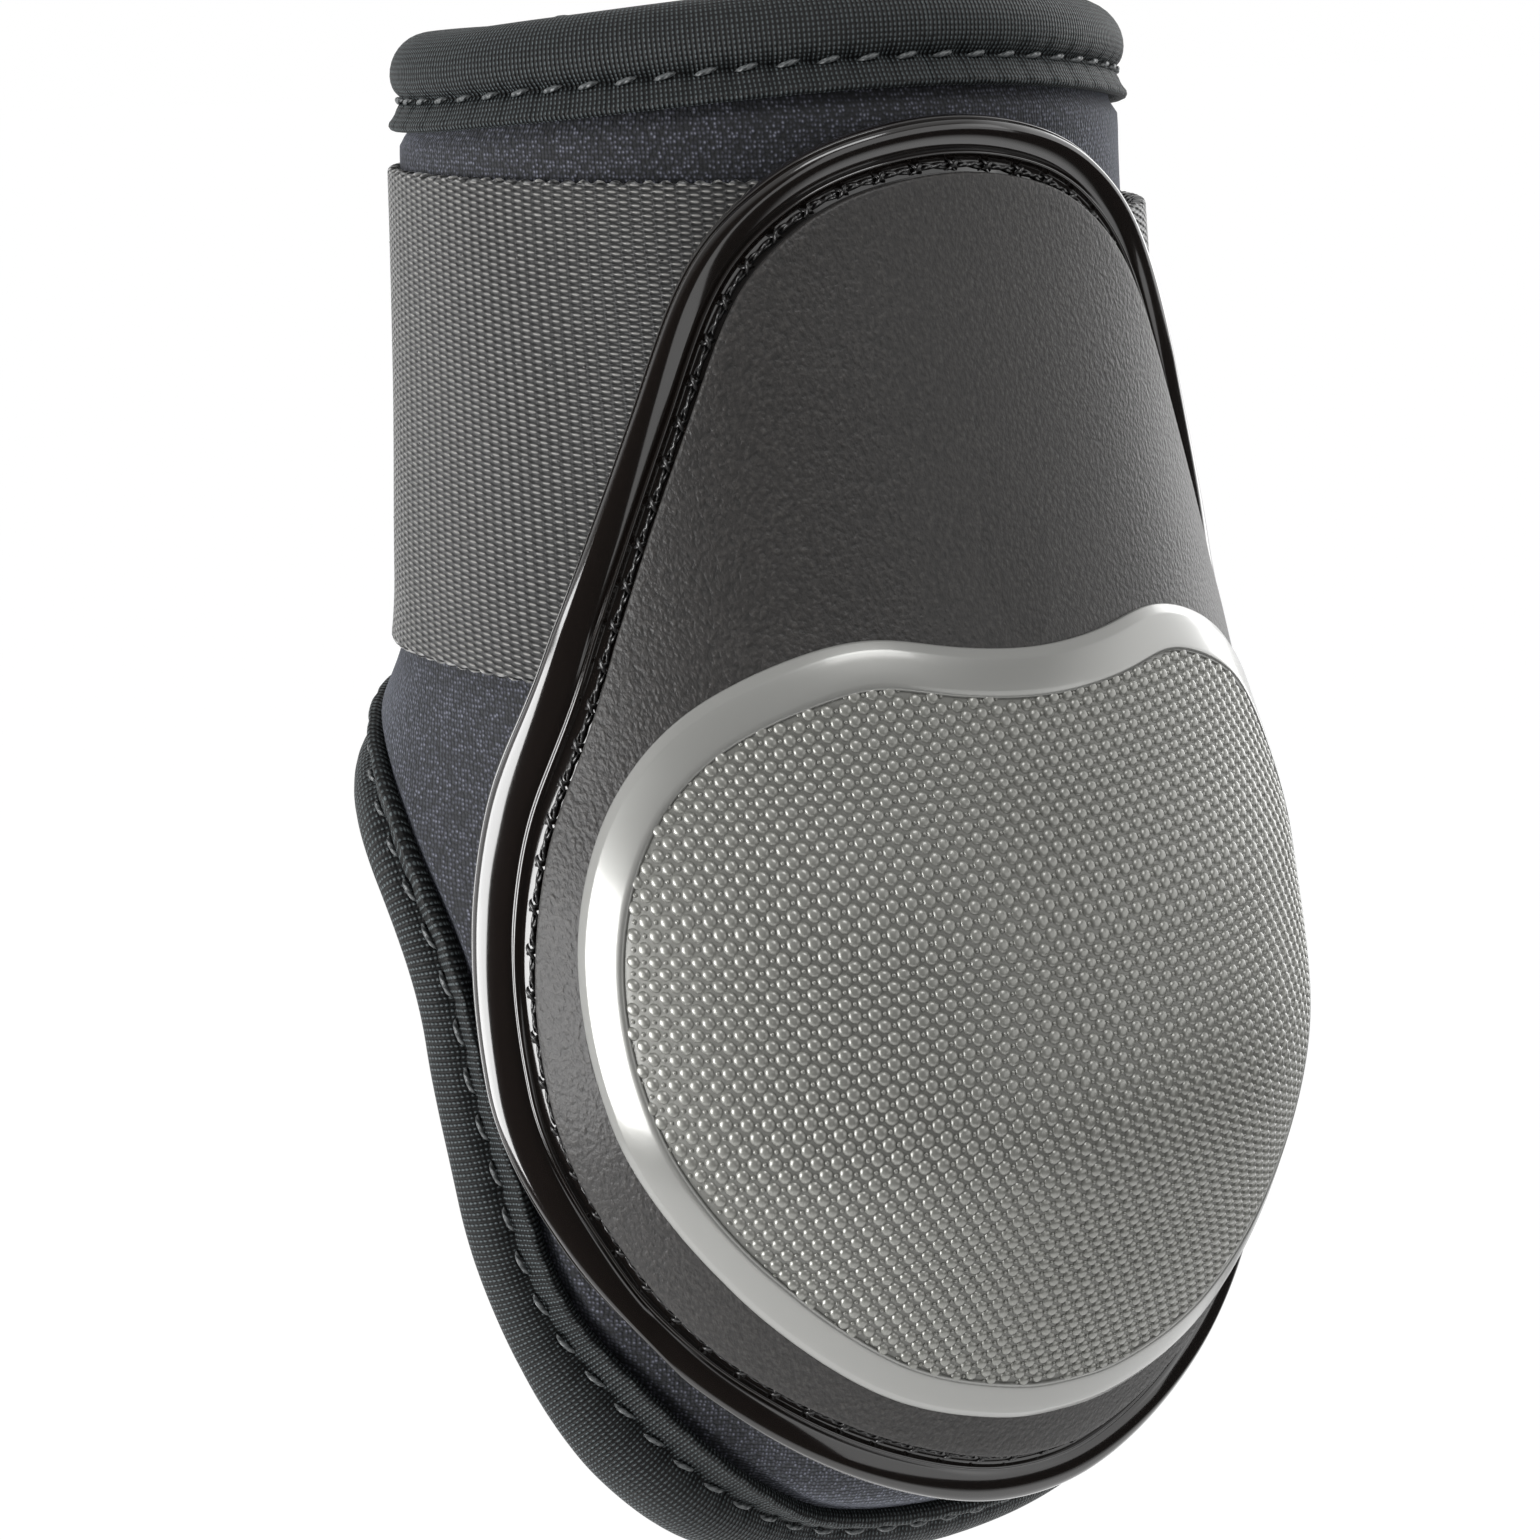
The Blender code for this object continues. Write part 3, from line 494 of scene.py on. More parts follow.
def makeWebbing():
    # woven polyester webbing: staggered slanting floats, pale partly from the yarn and partly as painted
    # highlight, with painted shade near black between them
    look = {"column": 1.3, "row": 0.65, "slant": 0.62, "cloud": 1.25, "depth": 0.0004}
    material, tree, shader, pattern = newMaterial("wovenPolyesterWebbing", "#5f5e5d")
    # two waves, each along one diagonal of the weave, whose crests cross at the floats
    diagonal = addNode(tree, "Mapping", {
        "Scale": (waveUnit * math.sqrt(0.5) / look["column"], waveUnit * math.sqrt(2) / look["row"], 1),
        "Rotation": (0, 0, math.radians(45)), "Vector": pattern})
    rising = addNode(tree, "TexWave", {"Scale": 1.0, "Vector": diagonal})
    falling = addNode(tree, "TexWave", {"bands_direction": "Y", "Scale": 1.0, "Vector": diagonal})
    weave = addNode(tree, "Mix", {0: 1 - look["slant"], 2: rising, 3: falling})
    uneven = addNode(tree, "TexNoise", {"Scale": 1 / look["cloud"], "Detail": 5.0, "Vector": pattern})
    height = addNode(tree, "Math", {"operation": "MULTIPLY_ADD", 0: uneven, 1: 0.3, 2: weave})
    bump = addNode(tree, "Bump", {"Height": height, "Distance": look["depth"]})
    # painted shade and highlight: the colour follows the weave's height, near black in the hollows and pale
    # on the floats
    color = addNode(tree, "ValToRGB", {"Fac": height, "stops": (
        (0.45, "#040404"), (0.7, "#121212"), (0.86, "#363534"), (1.0, "#82817e"))})
    setNode(tree, shader, {"Base Color": color, "Normal": bump, "Roughness": 0.4, "Specular IOR Level": 0.35,
                           "Sheen Weight": 0.55, "Sheen Roughness": 0.4})
    return material


def makeGlossShell():
    # injection-moulded black polyurethane from a polished tool: mirror-like with a warm brown depth
    look = {"ripple": 12.5, "depth": 0.0004}
    material, tree, shader, pattern = newMaterial("polishedMouldedPolyurethane", "#130f0d")
    flow = addNode(tree, "TexNoise", {"Scale": 1 / look["ripple"], "Detail": 1.0, "Vector": pattern})
    bump = addNode(tree, "Bump", {"Height": flow, "Distance": look["depth"], "Strength": 0.12})
    setNode(tree, shader, {"Normal": bump, "Roughness": 0.12, "IOR": 1.5, "Coat Weight": 0.5,
                           "Coat Roughness": 0.05})
    return material


def makePanel():
    # the same polyurethane from a spark-eroded tool: matt charcoal with a fine leathery pebble
    look = {"grain": 0.45, "squeeze": 0.65, "lean": 0.4, "depth": 0.00012}
    material, tree, shader, pattern = newMaterial("grainedPolyurethane", "#2c2b2a")
    leaning = addNode(tree, "Mapping", {"Scale": (1, look["squeeze"], 1), "Rotation": (0, 0, look["lean"]),
                                        "Vector": pattern})
    grain = addNode(tree, "TexNoise", {"Scale": 1 / look["grain"], "Detail": 2.0, "Roughness": 0.6,
                                       "Vector": leaning})
    pebble = addNode(tree, "TexVoronoi", {"feature": "SMOOTH_F1", "Scale": 1 / look["grain"],
                                          "Vector": pattern})
    height = addNode(tree, "Math", {"operation": "MULTIPLY_ADD", 0: pebble, 1: -0.5, 2: grain})
    bump = addNode(tree, "Bump", {"Height": height, "Distance": look["depth"]})
    color = addNode(tree, "ValToRGB", {"Fac": height, "stops": (
        (0.0, "#191817"), (0.3, "#252322"), (0.6, "#33312f"))})
    setNode(tree, shader, {"Base Color": color, "Normal": bump, "Roughness": 0.48, "Specular IOR Level": 0.4})
    return material


def makeBezel():
    # silver-grey pearl lacquer on a moulded ring: satin body with broad bright reflections and no grain
    look = {"ripples": 0.07, "depth": 0.0004}  # ripples in each mm
    material, tree, shader, pattern = newMaterial("pearlLacqueredTrim", "#868683")
    flow = addNode(tree, "TexNoise", {"Scale": look["ripples"], "Detail": 1.0, "Vector": pattern})
    bump = addNode(tree, "Bump", {"Height": flow, "Distance": look["depth"], "Strength": 0.1})
    setNode(tree, shader, {"Normal": bump, "Metallic": 0.4, "Roughness": 0.3, "Coat Weight": 0.5,
                           "Coat Roughness": 0.1})
    return material


def makeInsert(name, color, roughness, coat):
    # grey polyurethane cast in one stroke with its domes, whose tops are polished by the tool
    look = {"cloud": 2.0, "depth": 0.0002}
    material, tree, shader, pattern = newMaterial(name, color)
    cloud = addNode(tree, "TexNoise", {"Scale": 1 / look["cloud"], "Detail": 4.0, "Vector": pattern})
    bump = addNode(tree, "Bump", {"Height": cloud, "Distance": look["depth"], "Strength": 0.3})
    setNode(tree, shader, {"Normal": bump, "Metallic": 0.4, "Roughness": roughness, "Specular IOR Level": 0.5,
                           "Coat Weight": coat, "Coat Roughness": 0.15})
    return material


def makeLining():
    # brushed nylon loop: matt charcoal nap
    look = {"tufts": 1.4, "depth": 0.0004}  # tufts in each mm
    material, tree, shader, pattern = newMaterial("brushedLoopLining", "#2a2b30")
    nap = addNode(tree, "TexNoise", {"Scale": look["tufts"], "Detail": 6.0, "Roughness": 0.7,
                                     "Vector": pattern})
    bump = addNode(tree, "Bump", {"Height": nap, "Distance": look["depth"]})
    color = addNode(tree, "ValToRGB", {"Fac": nap, "stops": ((0.3, "#17181b"), (0.7, "#34363b"))})
    setNode(tree, shader, {"Base Color": color, "Normal": bump, "Roughness": 0.95, "Specular IOR Level": 0.2,
                           "Sheen Weight": 0.3, "Sheen Roughness": 0.6})
    return material


def makeHookTape():
    # woven nylon hook tape: rows of stiff little hooks on a black ground
    look = {"hook": 1.3, "depth": 0.0006}
    material, tree, shader, pattern = newMaterial("nylonHookTape", "#141415")
    hooks = addNode(tree, "TexVoronoi", {"Scale": 1 / look["hook"], "Randomness": 0.3, "Vector": pattern})
    heads = addNode(tree, "Math", {"operation": "SUBTRACT", 0: 1.0, 1: hooks})
    bump = addNode(tree, "Bump", {"Height": addNode(tree, "Math", {"operation": "POWER", 0: heads, 1: 3.0}),
                                  "Distance": look["depth"]})
    color = addNode(tree, "ValToRGB", {"Fac": heads, "stops": ((0.4, "#0b0b0c"), (0.9, "#2c2c2e"))})
    setNode(tree, shader, {"Base Color": color, "Normal": bump, "Roughness": 0.55, "Specular IOR Level": 0.5})
    return material


def makeFoam():
    # closed-cell impact foam: pale, full of cut bubbles, which are drawn coarser than real ones
    look = {"bubbles": 1.2, "depth": 0.0004}  # bubbles in each mm
    material, tree, shader, pattern = newMaterial("closedCellFoam", "#8d8980")
    cells = addNode(tree, "TexVoronoi", {"Scale": look["bubbles"], "Vector": pattern})
    bump = addNode(tree, "Bump", {"Height": cells, "Distance": look["depth"]})
    setNode(tree, shader, {"Normal": bump, "Roughness": 0.9})
    return material


def dress(piece, material, slotName, *nodes):
    # give the piece its material, and let it stand for its CAD nodes
    piece.data.materials.clear()
    piece.data.materials.append(material)
    if nodes:
        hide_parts(*nodes)
    return piece


jersey, binding, webbing, lining = makeJersey(), makeBinding(), makeWebbing(), makeLining()
wrapThread = makeThread("pliedPolyesterThread", "#4c4f50", 0.5, 0.45)
shellThread = makeThread("waxedBondedThread", "#1b1a1a", 0.6, 0.3)
hookTape, foam = makeHookTape(), makeFoam()
glossShell, panelGrain, bezelTrim = makeGlossShell(), makePanel(), makeBezel()
# the ground takes a darker grey than the domes of the same cast: painted shade between the domes
insertGroundPaintedShade = makeInsert("castGreyPolyurethanePaintedShade", "#666662", 0.48, 0.25)
insertDome = makeInsert("polishedCastDome", "#7e7e79", 0.36, 0.5)
print("materials made")

# shell, pad and strike plate
rimRight = shell["rim"][:-len(shell["rightFoot"])] + shell["rightFoot"]
rim = shellOutline(shell["rim"], rimRight, shell["steps"])
wide = np.abs(rim[:, 0]) / rim[:, 0].max()
swell = 1 + shell["swell"] * smoothstep((wide - shell["swellStart"]) / shell["swellSpan"])
rimIn = inward(rim, closed=True) * swell[:, None]
rimPiece = edgeTrim("shell_rim", rim, rimIn, shell["rimProfile"], closed=True, sharp=60)
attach(dress(rimPiece, glossShell, "shell", "shell_base"), "shell")
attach(dress(outlinePlate("shell_seat", rim, rimIn), glossShell, "shell"), "shell")
pad = outlinePlate("impact_foam", rim, rimIn)
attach(dress(pad, foam, "foam", "impact_pad"), "shell")
panel = outlinePlate("grained_panel", rim, rimIn)
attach(dress(panel, panelGrain, "panel", "shell_panel"), "shell")

# two thin threads lie from hole to hole, and cross in a knot over each hole; lengths in mm
channel = inset(rim, rimIn, shell["channel"] * mm)
channelIn = inward(channel, closed=True)
shellPitch = 4.2
shellStitches = {
    "channel_thread": {"length": 3.9, "radius": 0.2, "lift": 3.4, "dip": 0.35, "lean": 0.35},
    "channel_thread_pair": {"length": 3.7, "radius": 0.17, "lift": 3.38, "dip": 0.35, "lean": -0.8},
    "channel_knots": {"length": 1.3, "radius": 0.24, "lift": 3.72, "dip": 0.5, "lean": 1.1, "shift": 0.5},
    "channel_knots_pair": {"length": 1.2, "radius": 0.22, "lift": 3.6, "dip": 0.45, "lean": -1.2,
                           "shift": 0.5},
}
for name, stitch in shellStitches.items():
    row = stitchRow(name, channel, channelIn, {"pitch": shellPitch, **stitch})
    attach(dress(row, shellThread, "thread", "shell_stitching"), "shell")

bezel = shellOutline(shell["bezel"], shell["bezel"], shell["steps"])
bezelIn = inward(bezel, closed=True)
ring = edgeTrim("strike_ring", bezel, bezelIn, shell["bezelProfile"], closed=True, sharp=70)
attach(dress(ring, bezelTrim, "bezel", "strike_bezel"), "shell")
ground = outlinePlate("insert_ground", bezel, bezelIn)
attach(dress(ground, insertGroundPaintedShade, "insert", "strike_insert"), "shell")


def insideOf(points, line):
    # which points lie inside a closed line
    x, y = points[:, 0][:, None], points[:, 1][:, None]
    a, b = line[:-1], line[1:]
    crosses = (a[:, 1] > y) != (b[:, 1] > y)
    with np.errstate(divide="ignore", invalid="ignore"):
        at = a[:, 0] + (y - a[:, 1]) / (b[:, 1] - a[:, 1]) * (b[:, 0] - a[:, 0])
    return (crosses & (x < at)).sum(1) % 2 == 1


def insertStuds(name, centres):
    # low domes on the insert, one for each centre, each sunk a little in its ground
    stud, sunk = domes[name], domes["sunk"]
    rings, sides, radii = stud["rings"], stud["sides"], stud["radii"]
    share = np.sin(np.linspace(0, math.pi / 2, rings + 1))
    rise = ((1 - share ** 4) * (stud["height"] + sunk) - sunk) * mm
    turns = np.linspace(0, 2 * math.pi, sides, endpoint=False)
    s = centres[:, 0, None, None] + share[None, :, None] * radii[0] * mm * np.cos(turns)
    z = centres[:, 1, None, None] + share[None, :, None] * radii[1] * mm * np.sin(turns)
    points = onForm(s, z, plates["insert_ground"]["top"] * mm + rise[None, :, None])
    faces, (i, j) = gridFaces(rings + 1, sides, False, True)
    faces = (faces[None] + (np.arange(len(centres)) * (rings + 1) * sides)[:, None, None]).reshape(-1, 4)
    uv = np.stack([s, z], -1).reshape(-1, 2)[faces.ravel()] / mm
    return closedUp(newObject(name, points, faces, uv, 85), 1e-8)


def spread(places):
    # the rows stand a little wider apart towards the sides
    s = places[:, 0]
    return np.stack([s * (1 + domes["spread"] * (s / domes["spreadAt"]) ** 2), places[:, 1]], 1) * mm


along, down = np.array(domes["along"]), np.array(domes["down"])
counts = np.arange(-domes["reach"], domes["reach"] + 1)
i, j = np.meshgrid(counts, counts, indexing="ij")
lattice = (i[..., None] * along + j[..., None] * down).reshape(-1, 2) + (0, outlineMiddle / mm)
insertEdge = inset(bezel, bezelIn, domes["inset"] * mm)
big, small = (spread(places) for places in (lattice, lattice + along / 2))
big, small = (centres[insideOf(centres, insertEdge)] for centres in (big, small))
for name, centres in (("insert_domes", big), ("insert_dots", small)):
    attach(dress(insertStuds(name, centres), insertDome, "insert"), "shell")
print("shell made:", len(big), "domes,", len(small), "dots")

# wrap: neoprene, lining, bindings and their stitches, one set for each side of the rear midline
# the layers start this deep in from the edge, and the neoprene sinks in a groove along the tape; all in mm
layers = {
    "from": 8.6, "neopreneFloor": -6.3, "liningTop": -6.4, "liningFloor": -7.5,
    "groove": 1.15, "grooveEnd": 11.4, "grooveSpan": 1.8, "grooveCurve": 1.5,
    "edgeSteps": 1200, "columns": 170, "rows": 96,
}
tape = {
    # each stitch pulls the tape in round its hole, and draws the welt in beside it
    "stitchDepth": 6.7, "pull": 0.32, "pullSpan": 1.1, "scallop": 0.18, "scallopDepth": 9, "scallopSpan": 0.6,
    "sharpness": 8, "outside": -3,
    # depth in from the fold and lift: welt, pinch, roll, then the same inside
    "outer": ((9.2, -1.1), (9.5, -0.6), (9.7, 0.0), (9.72, 0.45), (9.55, 0.85), (9.25, 1.02), (8.9, 0.95),
              (8.55, 0.66), (8.1, 0.36), (7.6, 0.16), (7.15, -0.1), (6.9, -0.36), (6.7, -0.5), (6.45, -0.36),
              (6.15, -0.02), (5.8, 0.28), (5.4, 0.48), (4.9, 0.62), (4.3, 0.68)),
    "roll": (4.3, -3.66, 4.34),
    "inner": ((5.0, -7.95), (5.8, -7.6), (6.4, -7.25), (6.8, -7.15), (7.4, -7.4), (8.2, -7.75), (8.9, -7.85),
              (9.5, -7.5)),
}
wrapStitch = {"pitch": 4.6, "length": 2.8, "radius": 0.27, "lift": 0.02, "dip": 0.5, "lean": 0.5}


def tapeProfile():
    depth, lift, radius = tape["roll"]
    turns = np.radians(np.linspace(90, 270, 19))[1:]
    roll = [(depth + radius * math.cos(turn), lift + radius * math.sin(turn)) for turn in turns]
    return np.array(list(tape["outer"]) + roll + list(tape["inner"]))


def edgeDistance(s, z, line):
    # distance in mm from each pattern point to a line, a few thousand at a time
    flat = np.stack([s, z], -1).reshape(-1, 1, 2)
    batches = [flat[k:k + 4000] for k in range(0, len(flat), 4000)]
    parts = [np.linalg.norm(batch - line[None], axis=-1).min(1) for batch in batches]
    return np.concatenate(parts).reshape(s.shape) / mm


def bendAtSeam(piece):
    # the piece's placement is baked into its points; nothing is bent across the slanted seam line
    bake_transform(piece)


def makeWrap(word, side):
    edge = wrapEdge(layers["edgeSteps"], 0 if side > 0 else wrap["rightTuck"])
    into = inward(edge)
    edge, into = edge * (side, 1), into * (side, 1)
    # the edge is split where it reaches furthest round, close to the middle of the front
    split = int(np.argmax(np.abs(edge[:, 0]) - np.abs(edge[:, 1] + 0.001) * 0.01))

    # the neoprene runs from its crest to its lower edge in straight columns
    inner = inset(edge, into, layers["from"] * mm)
    upper, lower = (resampled(line, layers["columns"]) for line in (inner[:split + 1], inner[split:][::-1]))
    share = np.linspace(0, 1, layers["rows"] + 1)[None, :, None]
    flat = lower[:, None] * (1 - share) + upper[:, None] * share
    flat[0, :, 0] = 0
    s, z = flat[..., 0], flat[..., 1]
    gap = edgeDistance(s, z, edge[::3])
    sunk = np.clip((layers["grooveEnd"] - gap) / layers["grooveSpan"], 0, 1) ** layers["grooveCurve"]
    skin = clothLayer("neoprene_" + word, s, z, -layers["groove"] * sunk * mm, layers["neopreneFloor"] * mm)
    dress(skin, jersey, "neoprene", "neoprene_back", "neoprene_" + word)
    liner = clothLayer("lining_" + word, s, z, layers["liningTop"] * mm, layers["liningFloor"] * mm)
    dress(liner, lining, "lining", "lining_back", "lining_" + word)

    # the tape: its section is drawn in a little at each stitch hole
    section = tapeProfile()
    depth, outside = section[:, 0], section[:, 1] > tape["outside"]
    far = travelled(edge) / mm
    pitch = far[-1] / round(far[-1] / wrapStitch["pitch"])
    draw = np.cos(math.pi * far / pitch) ** tape["sharpness"]
    pull = tape["pull"] * np.exp(-((depth - tape["stitchDepth"]) / tape["pullSpan"]) ** 2)
    scallop = tape["scallop"] * np.exp(-((depth - tape["scallopDepth"]) / tape["scallopSpan"]) ** 2)
    drawn = np.where(outside, -pull - scallop, pull)
    lift = section[None, :, 1] + draw[:, None] * drawn[None]
    grid = np.stack([np.broadcast_to(depth, lift.shape), lift], -1)
    bound = edgeTrim("binding_" + word, edge, into, grid)
    dress(bound, binding, "binding", "edge_binding_" + word, "top_binding_back", "lower_binding_back")
    line = inset(edge, into, tape["stitchDepth"] * mm)
    row = stitchRow("binding_stitches_" + word, line, into, {**wrapStitch, "lean": wrapStitch["lean"] * side})
    dress(row, wrapThread, "thread", "edge_stitching_" + word, "top_stitching_back", "lower_stitching_back")
    for part in (skin, liner, bound, row):
        bendAtSeam(part)


makeWrap("left", 1)
makeWrap("right", -1)
print("wrap made")

# the landing band, and the narrower strap that lies low on its own side and climbs to pass over the left wing
# widths, lengths and gaps in metres; thickness, lifts and the weave in mm; places on the strap in degrees
band = {
    "width": 0.048, "underRim": 0.0005, "frontMargin": 0.0101, "seamMargin": 0.001,
    "thickness": 1.4, "edge": 0.5, "low": -0.1, "step": 0.4,
    # the picks of the weave swell its edges: by how much, how far apart and how far in
    "scallop": 0.2, "pick": 1.9, "pickReach": 1.2,
    "seams": (16.6, 6.5, -2.7, -11.6), "seamSteps": 300,
}
strap = {
    "width": 0.038, "low": 1.2, "high": 3.5, "climbFrom": 135, "climbTo": 160, "cut": 90, "end": 232,
    "root": 16, "bendTo": 106, "bendLift": 2, "hookLength": 0.05, "hookMargin": 0.002, "hookGap": 0.0003,
    # under the webbing: how far down each layer's underside lies, its thickness and its edge radius
    "hookDrop": 1.4, "backingDrop": 1.3, "layer": 1.1, "layerEdge": 0.3,
    "tipCorner": 0.01, "tipLead": 0.001, "tipSteps": 120,
    # tape round the strap's end: depth in from the edge and lift, in mm
    "tip": ((7.5, 4.75), (7.3, 5.25), (6.8, 5.4), (6.2, 5.2), (5.6, 5.05), (4.5, 5.15), (2.0, 5.25),
            (0.6, 5.15), (0, 4.8), (-0.45, 4.2), (-0.4, 3.4), (0.1, 2.8), (1.0, 2.45), (3.0, 2.35),
            (6.5, 2.4), (7.4, 2.7)),
}
bandStitch = {"pitch": 4.3, "length": 0.9, "radius": 0.22, "lift": 1.12, "dip": 0.2, "lean": 0}


def rimEdge(height):
    # how far round the shell's rim reaches at a height
    side = rim[:len(rim) // 2]
    return np.interp(-height, -side[:, 1], side[:, 0])


def edged(length, step, radius):
    # sample places along a length, close together near both rounded ends; in mm
    near = radius * (1 - np.cos(np.radians(np.linspace(0, 90, 6))))
    middle = np.linspace(radius, length - radius, max(int(length / step), 2) + 1)[1:-1]
    return np.concatenate([near, middle, length - near[::-1]])


def rounded(gap, radius):
    # how far a sheet's face drops towards its edge
    inside = np.clip(radius - gap, 0, radius)
    return radius - np.sqrt(radius ** 2 - inside ** 2)


def flatStrip(name, startAt, endAt, heights, liftAt, thickness, side, step=1.0, radius=0.5, scallop=0.0):
    # a flat strip over the form, from one edge curve to another; lengths in mm but for the edge curves
    length = float(np.mean(endAt(heights) - startAt(heights))) / mm
    share = edged(length, step, radius) / length
    start, end = startAt(heights)[None], endAt(heights)[None]
    s = start + (end - start) * share[:, None]
    span = (heights - heights[0]) / mm
    fromEdge = np.minimum(span, span[-1] - span)
    nearEdge = np.clip(1 - fromEdge / band["pickReach"], 0, 1) * np.sign(heights)
    z = heights + scallop * nearEdge * np.cos(2 * math.pi * s / band["pick"] / mm) * mm
    low = liftAt((s - start) / mm)
    drop = np.maximum(rounded(fromEdge, radius)[None],
                      rounded(np.minimum(share, 1 - share) * length, radius)[:, None])
    return clothLayer(name, s * side, z, (low + thickness - drop) * mm, (low + drop) * mm)


def evenHeights(width):
    return (edged(width / mm, 1.0, band["edge"]) - width / mm / 2) * mm


weave = {"step": band["step"], "radius": band["edge"], "scallop": band["scallop"]}
heights = evenHeights(band["width"])
front = wingFront - band["frontMargin"]
landing = flatStrip("landing_band", lambda z: rimEdge(z) - band["underRim"], lambda z: front + 0 * z, heights,
                    lambda d: band["low"] + 0 * d, band["thickness"], 1, **weave)
bendAtSeam(dress(landing, webbing, "webbing", "landing_band_rear", "landing_band_front"))
for number, height in enumerate(band["seams"], 1):
    start, end = float(rimEdge(height * mm)) + band["seamMargin"], front - band["seamMargin"]
    places = np.linspace(start, end, band["seamSteps"])
    line = np.stack([places, np.full(len(places), height * mm)], 1)
    row = stitchRow("band_stitches_%d" % number, line, inward(line), bandStitch)
    bendAtSeam(dress(row, shellThread, "thread"))

strapHeights = evenHeights(strap["width"])
half = strap["width"] / 2
climb = math.radians(strap["root"]) * patternRadius / mm
cut = math.radians(strap["cut"]) * patternRadius
root = flatStrip("strap_root_webbing", lambda z: rimEdge(z) - band["underRim"], lambda z: cut + 0 * z,
                 strapHeights, lambda d: band["low"] + (strap["low"] - band["low"]) * smoothstep(d / climb),
                 band["thickness"], -1, **weave)
bendAtSeam(dress(root, webbing, "webbing", "strap_root"))

tip = math.radians(strap["end"]) * patternRadius
corner = strap["tipCorner"]
hookEnd = tip - corner
hookStart = hookEnd - strap["hookLength"]


def tipAt(z):
    # the strap's free end, with round corners
    over = np.clip(np.abs(z) - (half - corner), 0, corner)
    return tip - corner + np.sqrt(corner ** 2 - over ** 2)


def strapRise(s):
    # how far the strap has climbed, from 0 to 1
    turn = np.degrees(s / patternRadius)
    return smoothstep((turn - strap["climbFrom"]) / (strap["climbTo"] - strap["climbFrom"]))


def strapLayer(name, start, endAt, heights, below, thickness, **shape):
    # a layer of the strap whose underside lies a given distance below the webbing's
    rise = strap["high"] - strap["low"]
    return flatStrip(name, lambda z: start + 0 * z, endAt, heights,
                     lambda d: strap["low"] + rise * strapRise(start + d * mm) - below,
                     thickness, -1, **shape)


webbed = strapLayer("closing_strap_webbing", cut, tipAt, strapHeights, 0, band["thickness"], **weave)
dress(webbed, webbing, "webbing", "strap_webbing")
hookHeights = strapHeights * (1 - strap["hookMargin"] / half)
hook = strapLayer("hook_tape", hookStart, lambda z: hookEnd + 0 * z, hookHeights, strap["hookDrop"],
                  strap["layer"], radius=strap["layerEdge"])
dress(hook, hookTape, "hook", "hook_patch")
backing = strapLayer("strap_lining", cut, lambda z: hookStart - strap["hookGap"] + 0 * z, hookHeights,
                     strap["backingDrop"], strap["layer"], radius=strap["layerEdge"])
dress(backing, lining, "backing", "strap_backing")

tipLine = np.array([(tipAt(z), z) for z in np.linspace(half, -half, strap["tipSteps"])])
lead = hookEnd - strap["tipLead"]
tipLine = resampled(np.vstack([[(lead, half)], tipLine, [(lead, -half)]]), strap["tipSteps"])
tipTape = edgeTrim("strap_tip_tape", tipLine * (-1, 1), inward(tipLine) * (-1, 1), strap["tip"])
dress(tipTape, binding, "binding", "strap_tip_binding")
for piece in (hook, tipTape):
    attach(piece, "closing_strap")
# the strap turns on its root over its first centimetre: the points where that bend starts and ends are found,
# but the pieces are not bent, only their placements baked
bendFrom, bendTo = (onForm(-math.radians(strap[key]) * patternRadius, 0, strap["bendLift"] * mm)
                    for key in ("cut", "bendTo"))
for piece in (webbed, backing):
    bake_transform(piece)
print("bands made")

# studio: a white surround for the camera, dark towards the camera's side for reflections, and soft lights
studio = {
    "ambient": 0.25, "behindCamera": 0.04, "floor": -0.4, "reach": 8.0, "shadowShare": 0.05, "paper": 1.04,
    # pale patches that polished faces mirror: where each starts and is full along its axis, and its strength
    "patches": {"Z": (0.25, 0.8, 0.7), "X": (0.5, 0.85, 2.2), "Y": (0.0, 0.55, 1.0)},
    # the same on the floor, in metres: ahead of the boot, and round the place below it
    "floorAhead": (0.1, 0.4, 1.0), "floorUnder": (0.45, 0.6, 1.5),
    "aim": (0, -0.02, -0.03),
    "lamps": {
        "leftSoftbox": {"place": (-0.92, 0.12, -0.14), "size": (0.58, 0.6), "power": 13.5},
        "frontSoftbox": {"place": (0.35, -0.93, 0.06), "size": (0.9, 0.7), "power": 2.8},
        "rightSoftbox": {"place": (0.8, 0.25, 0.1), "size": (0.25, 0.7), "power": 1.4},
        "topSoftbox": {"place": (-0.1, -0.55, 0.85), "size": (0.5, 0.5), "power": 5.0},
    },
}
world = bpy.data.worlds.new("paleSurround")
bpy.context.scene.world = world
world.use_nodes = True
tree = world.node_tree
path = addNode(tree, "LightPath")
seen = addNode(tree, "Math", {"operation": "MAXIMUM", 0: path.outputs["Is Camera Ray"],
                              1: path.outputs["Is Transmission Ray"]})
way = addNode(tree, "SeparateXYZ", {"Vector": addNode(tree, "TexCoord").outputs["Generated"]})
mirrored = studio["behindCamera"]
for axis, (start, full, strength) in studio["patches"].items():
    patch = addNode(tree, "MapRange", {"Value": way.outputs[axis], "From Min": start, "From Max": full,
                                       "To Min": studio["behindCamera"], "To Max": strength})
    mirrored = addNode(tree, "Math", {"operation": "MAXIMUM", 0: mirrored, 1: patch})
unseen = addNode(tree, "Mix", {0: path.outputs["Is Glossy Ray"], 2: studio["ambient"], 3: mirrored})
strength = addNode(tree, "Mix", {0: seen, 2: unseen, 3: 1.0})
setNode(tree, tree.nodes["Background"], {"Color": (1, 1, 1, 1), "Strength": strength})

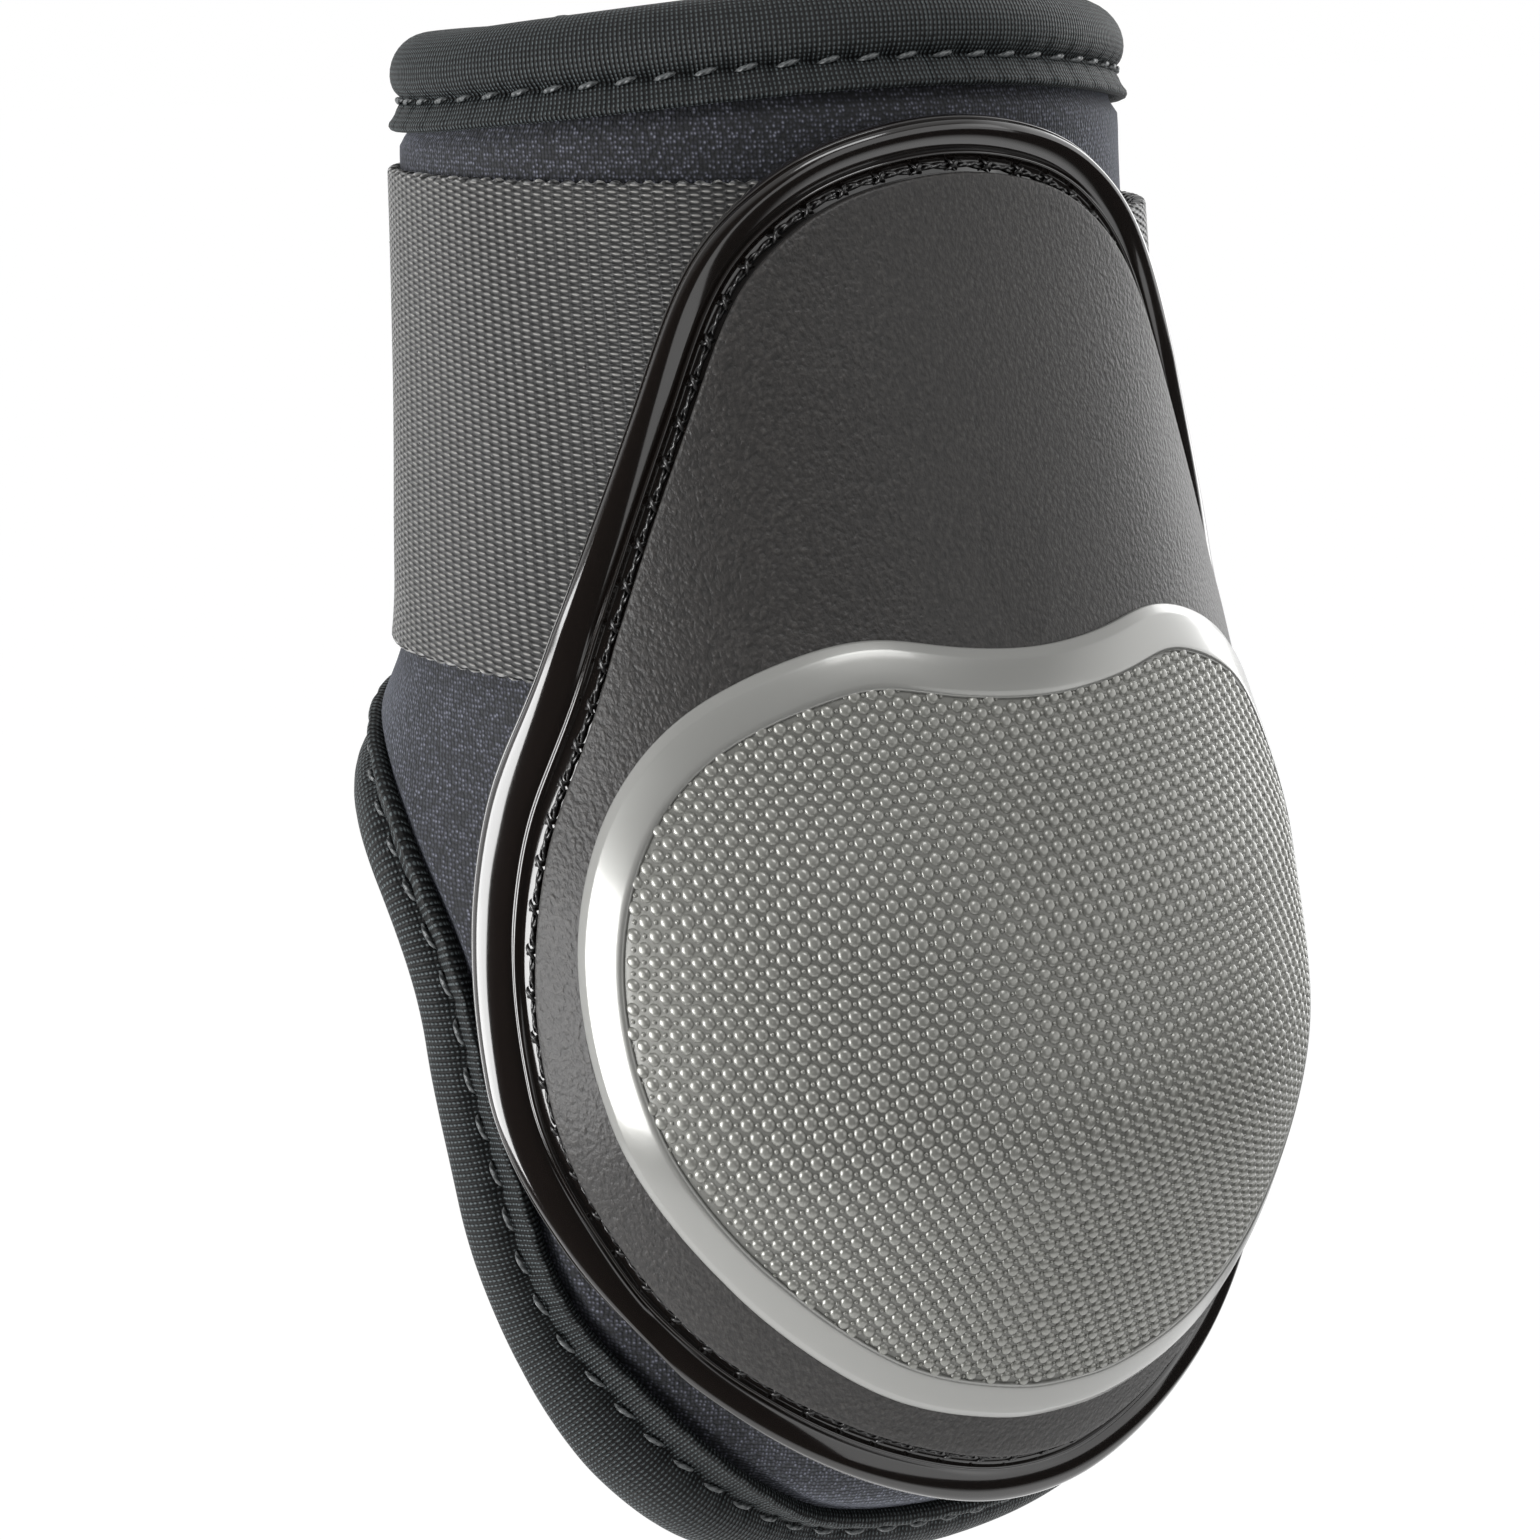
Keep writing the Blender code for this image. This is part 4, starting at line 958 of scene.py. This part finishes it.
floorMesh = bpy.data.meshes.new("studio_floor")
reach, level = studio["reach"], studio["floor"]
floorCorners = [(x * reach, y * reach, level) for x, y in ((-1, -1), (1, -1), (1, 1), (-1, 1))]
floorMesh.from_pydata(floorCorners, [], [(0, 1, 2, 3)])
floor = bpy.data.objects.new("studio_floor", floorMesh)
bpy.context.scene.collection.objects.link(floor)
floorMaterial, tree, shader, _ = newMaterial("whitePaperSweep", "#f2f2f2")
shader.inputs["Roughness"].default_value = 0.9
path = addNode(tree, "LightPath")
glossy = path.outputs["Is Glossy Ray"]
seen = addNode(tree, "Math", {"operation": "MAXIMUM", 0: path.outputs["Is Camera Ray"],
                              1: path.outputs["Is Transmission Ray"]})
position = addNode(tree, "NewGeometry").outputs["Position"]
start, full, strength = studio["floorAhead"]
ahead = addNode(tree, "MapRange", {"Value": addNode(tree, "SeparateXYZ", {"Vector": position}).outputs["Y"],
                                   "From Min": start, "From Max": full,
                                   "To Min": studio["behindCamera"], "To Max": strength})
away = addNode(tree, "VectorMath", {"operation": "DISTANCE", 0: position, 1: (0, 0, level)})
full, end, strength = studio["floorUnder"]
under = addNode(tree, "MapRange", {"Value": away.outputs["Value"], "From Min": full, "From Max": end,
                                   "To Min": strength, "To Max": studio["behindCamera"]})
mirrored = addNode(tree, "Math", {"operation": "MAXIMUM", 0: ahead, 1: under})
strength = addNode(tree, "Mix", {0: glossy, 2: studio["paper"], 3: mirrored})
glow = addNode(tree, "Emission", {"Strength": strength})
share = addNode(tree, "Math", {"operation": "MULTIPLY_ADD", 0: seen, 1: 1 - studio["shadowShare"], 2: glossy})
mixed = addNode(tree, "MixShader", {0: share, 1: shader, 2: glow})
setNode(tree, tree.nodes["Material Output"], {"Surface": mixed})
floor.data.materials.append(floorMaterial)

for name, lamp in studio["lamps"].items():
    data = bpy.data.lights.new(name, "AREA")
    data.shape = "RECTANGLE"
    data.size, data.size_y = lamp["size"]
    data.energy = lamp["power"]
    light = bpy.data.objects.new(name, data)
    light.location = lamp["place"]
    light.rotation_euler = (Vector(studio["aim"]) - light.location).to_track_quat("-Z", "Y").to_euler()
    bpy.context.scene.collection.objects.link(light)

# the photograph's camera: degrees, metres, and the lens and sensor in mm
view = {"azimuth": -30.2, "elevation": 13.6, "roll": -0.5, "distance": 0.388, "target": -0.0422,
        "shift": 0.00065, "lens": 83.0, "sensor": 36, "clipStart": 0.01}
azimuth, elevation, roll = (math.radians(view[key]) for key in ("azimuth", "elevation", "roll"))
away = math.cos(elevation)
back = Vector((math.sin(azimuth) * away, -math.cos(azimuth) * away, math.sin(elevation)))
right = Vector((math.cos(azimuth), math.sin(azimuth), 0))
up = back.cross(right)
target = Vector((0, 0, view["target"])) + right * view["shift"]
right, up = right * math.cos(roll) + up * math.sin(roll), up * math.cos(roll) - right * math.sin(roll)
cameraData = bpy.data.cameras.new("photographView")
cameraData.lens = view["lens"]
cameraData.sensor_width = view["sensor"]
cameraData.clip_start = view["clipStart"]
camera = bpy.data.objects.new("photographView", cameraData)
camera.matrix_world = Matrix.Translation(target + back * view["distance"]) @ Matrix(
    (right, up, back)).transposed().to_4x4()
bpy.context.scene.collection.objects.link(camera)
bpy.context.scene.camera = camera
bpy.context.scene.view_settings.view_transform = "Standard"
print("studio made")
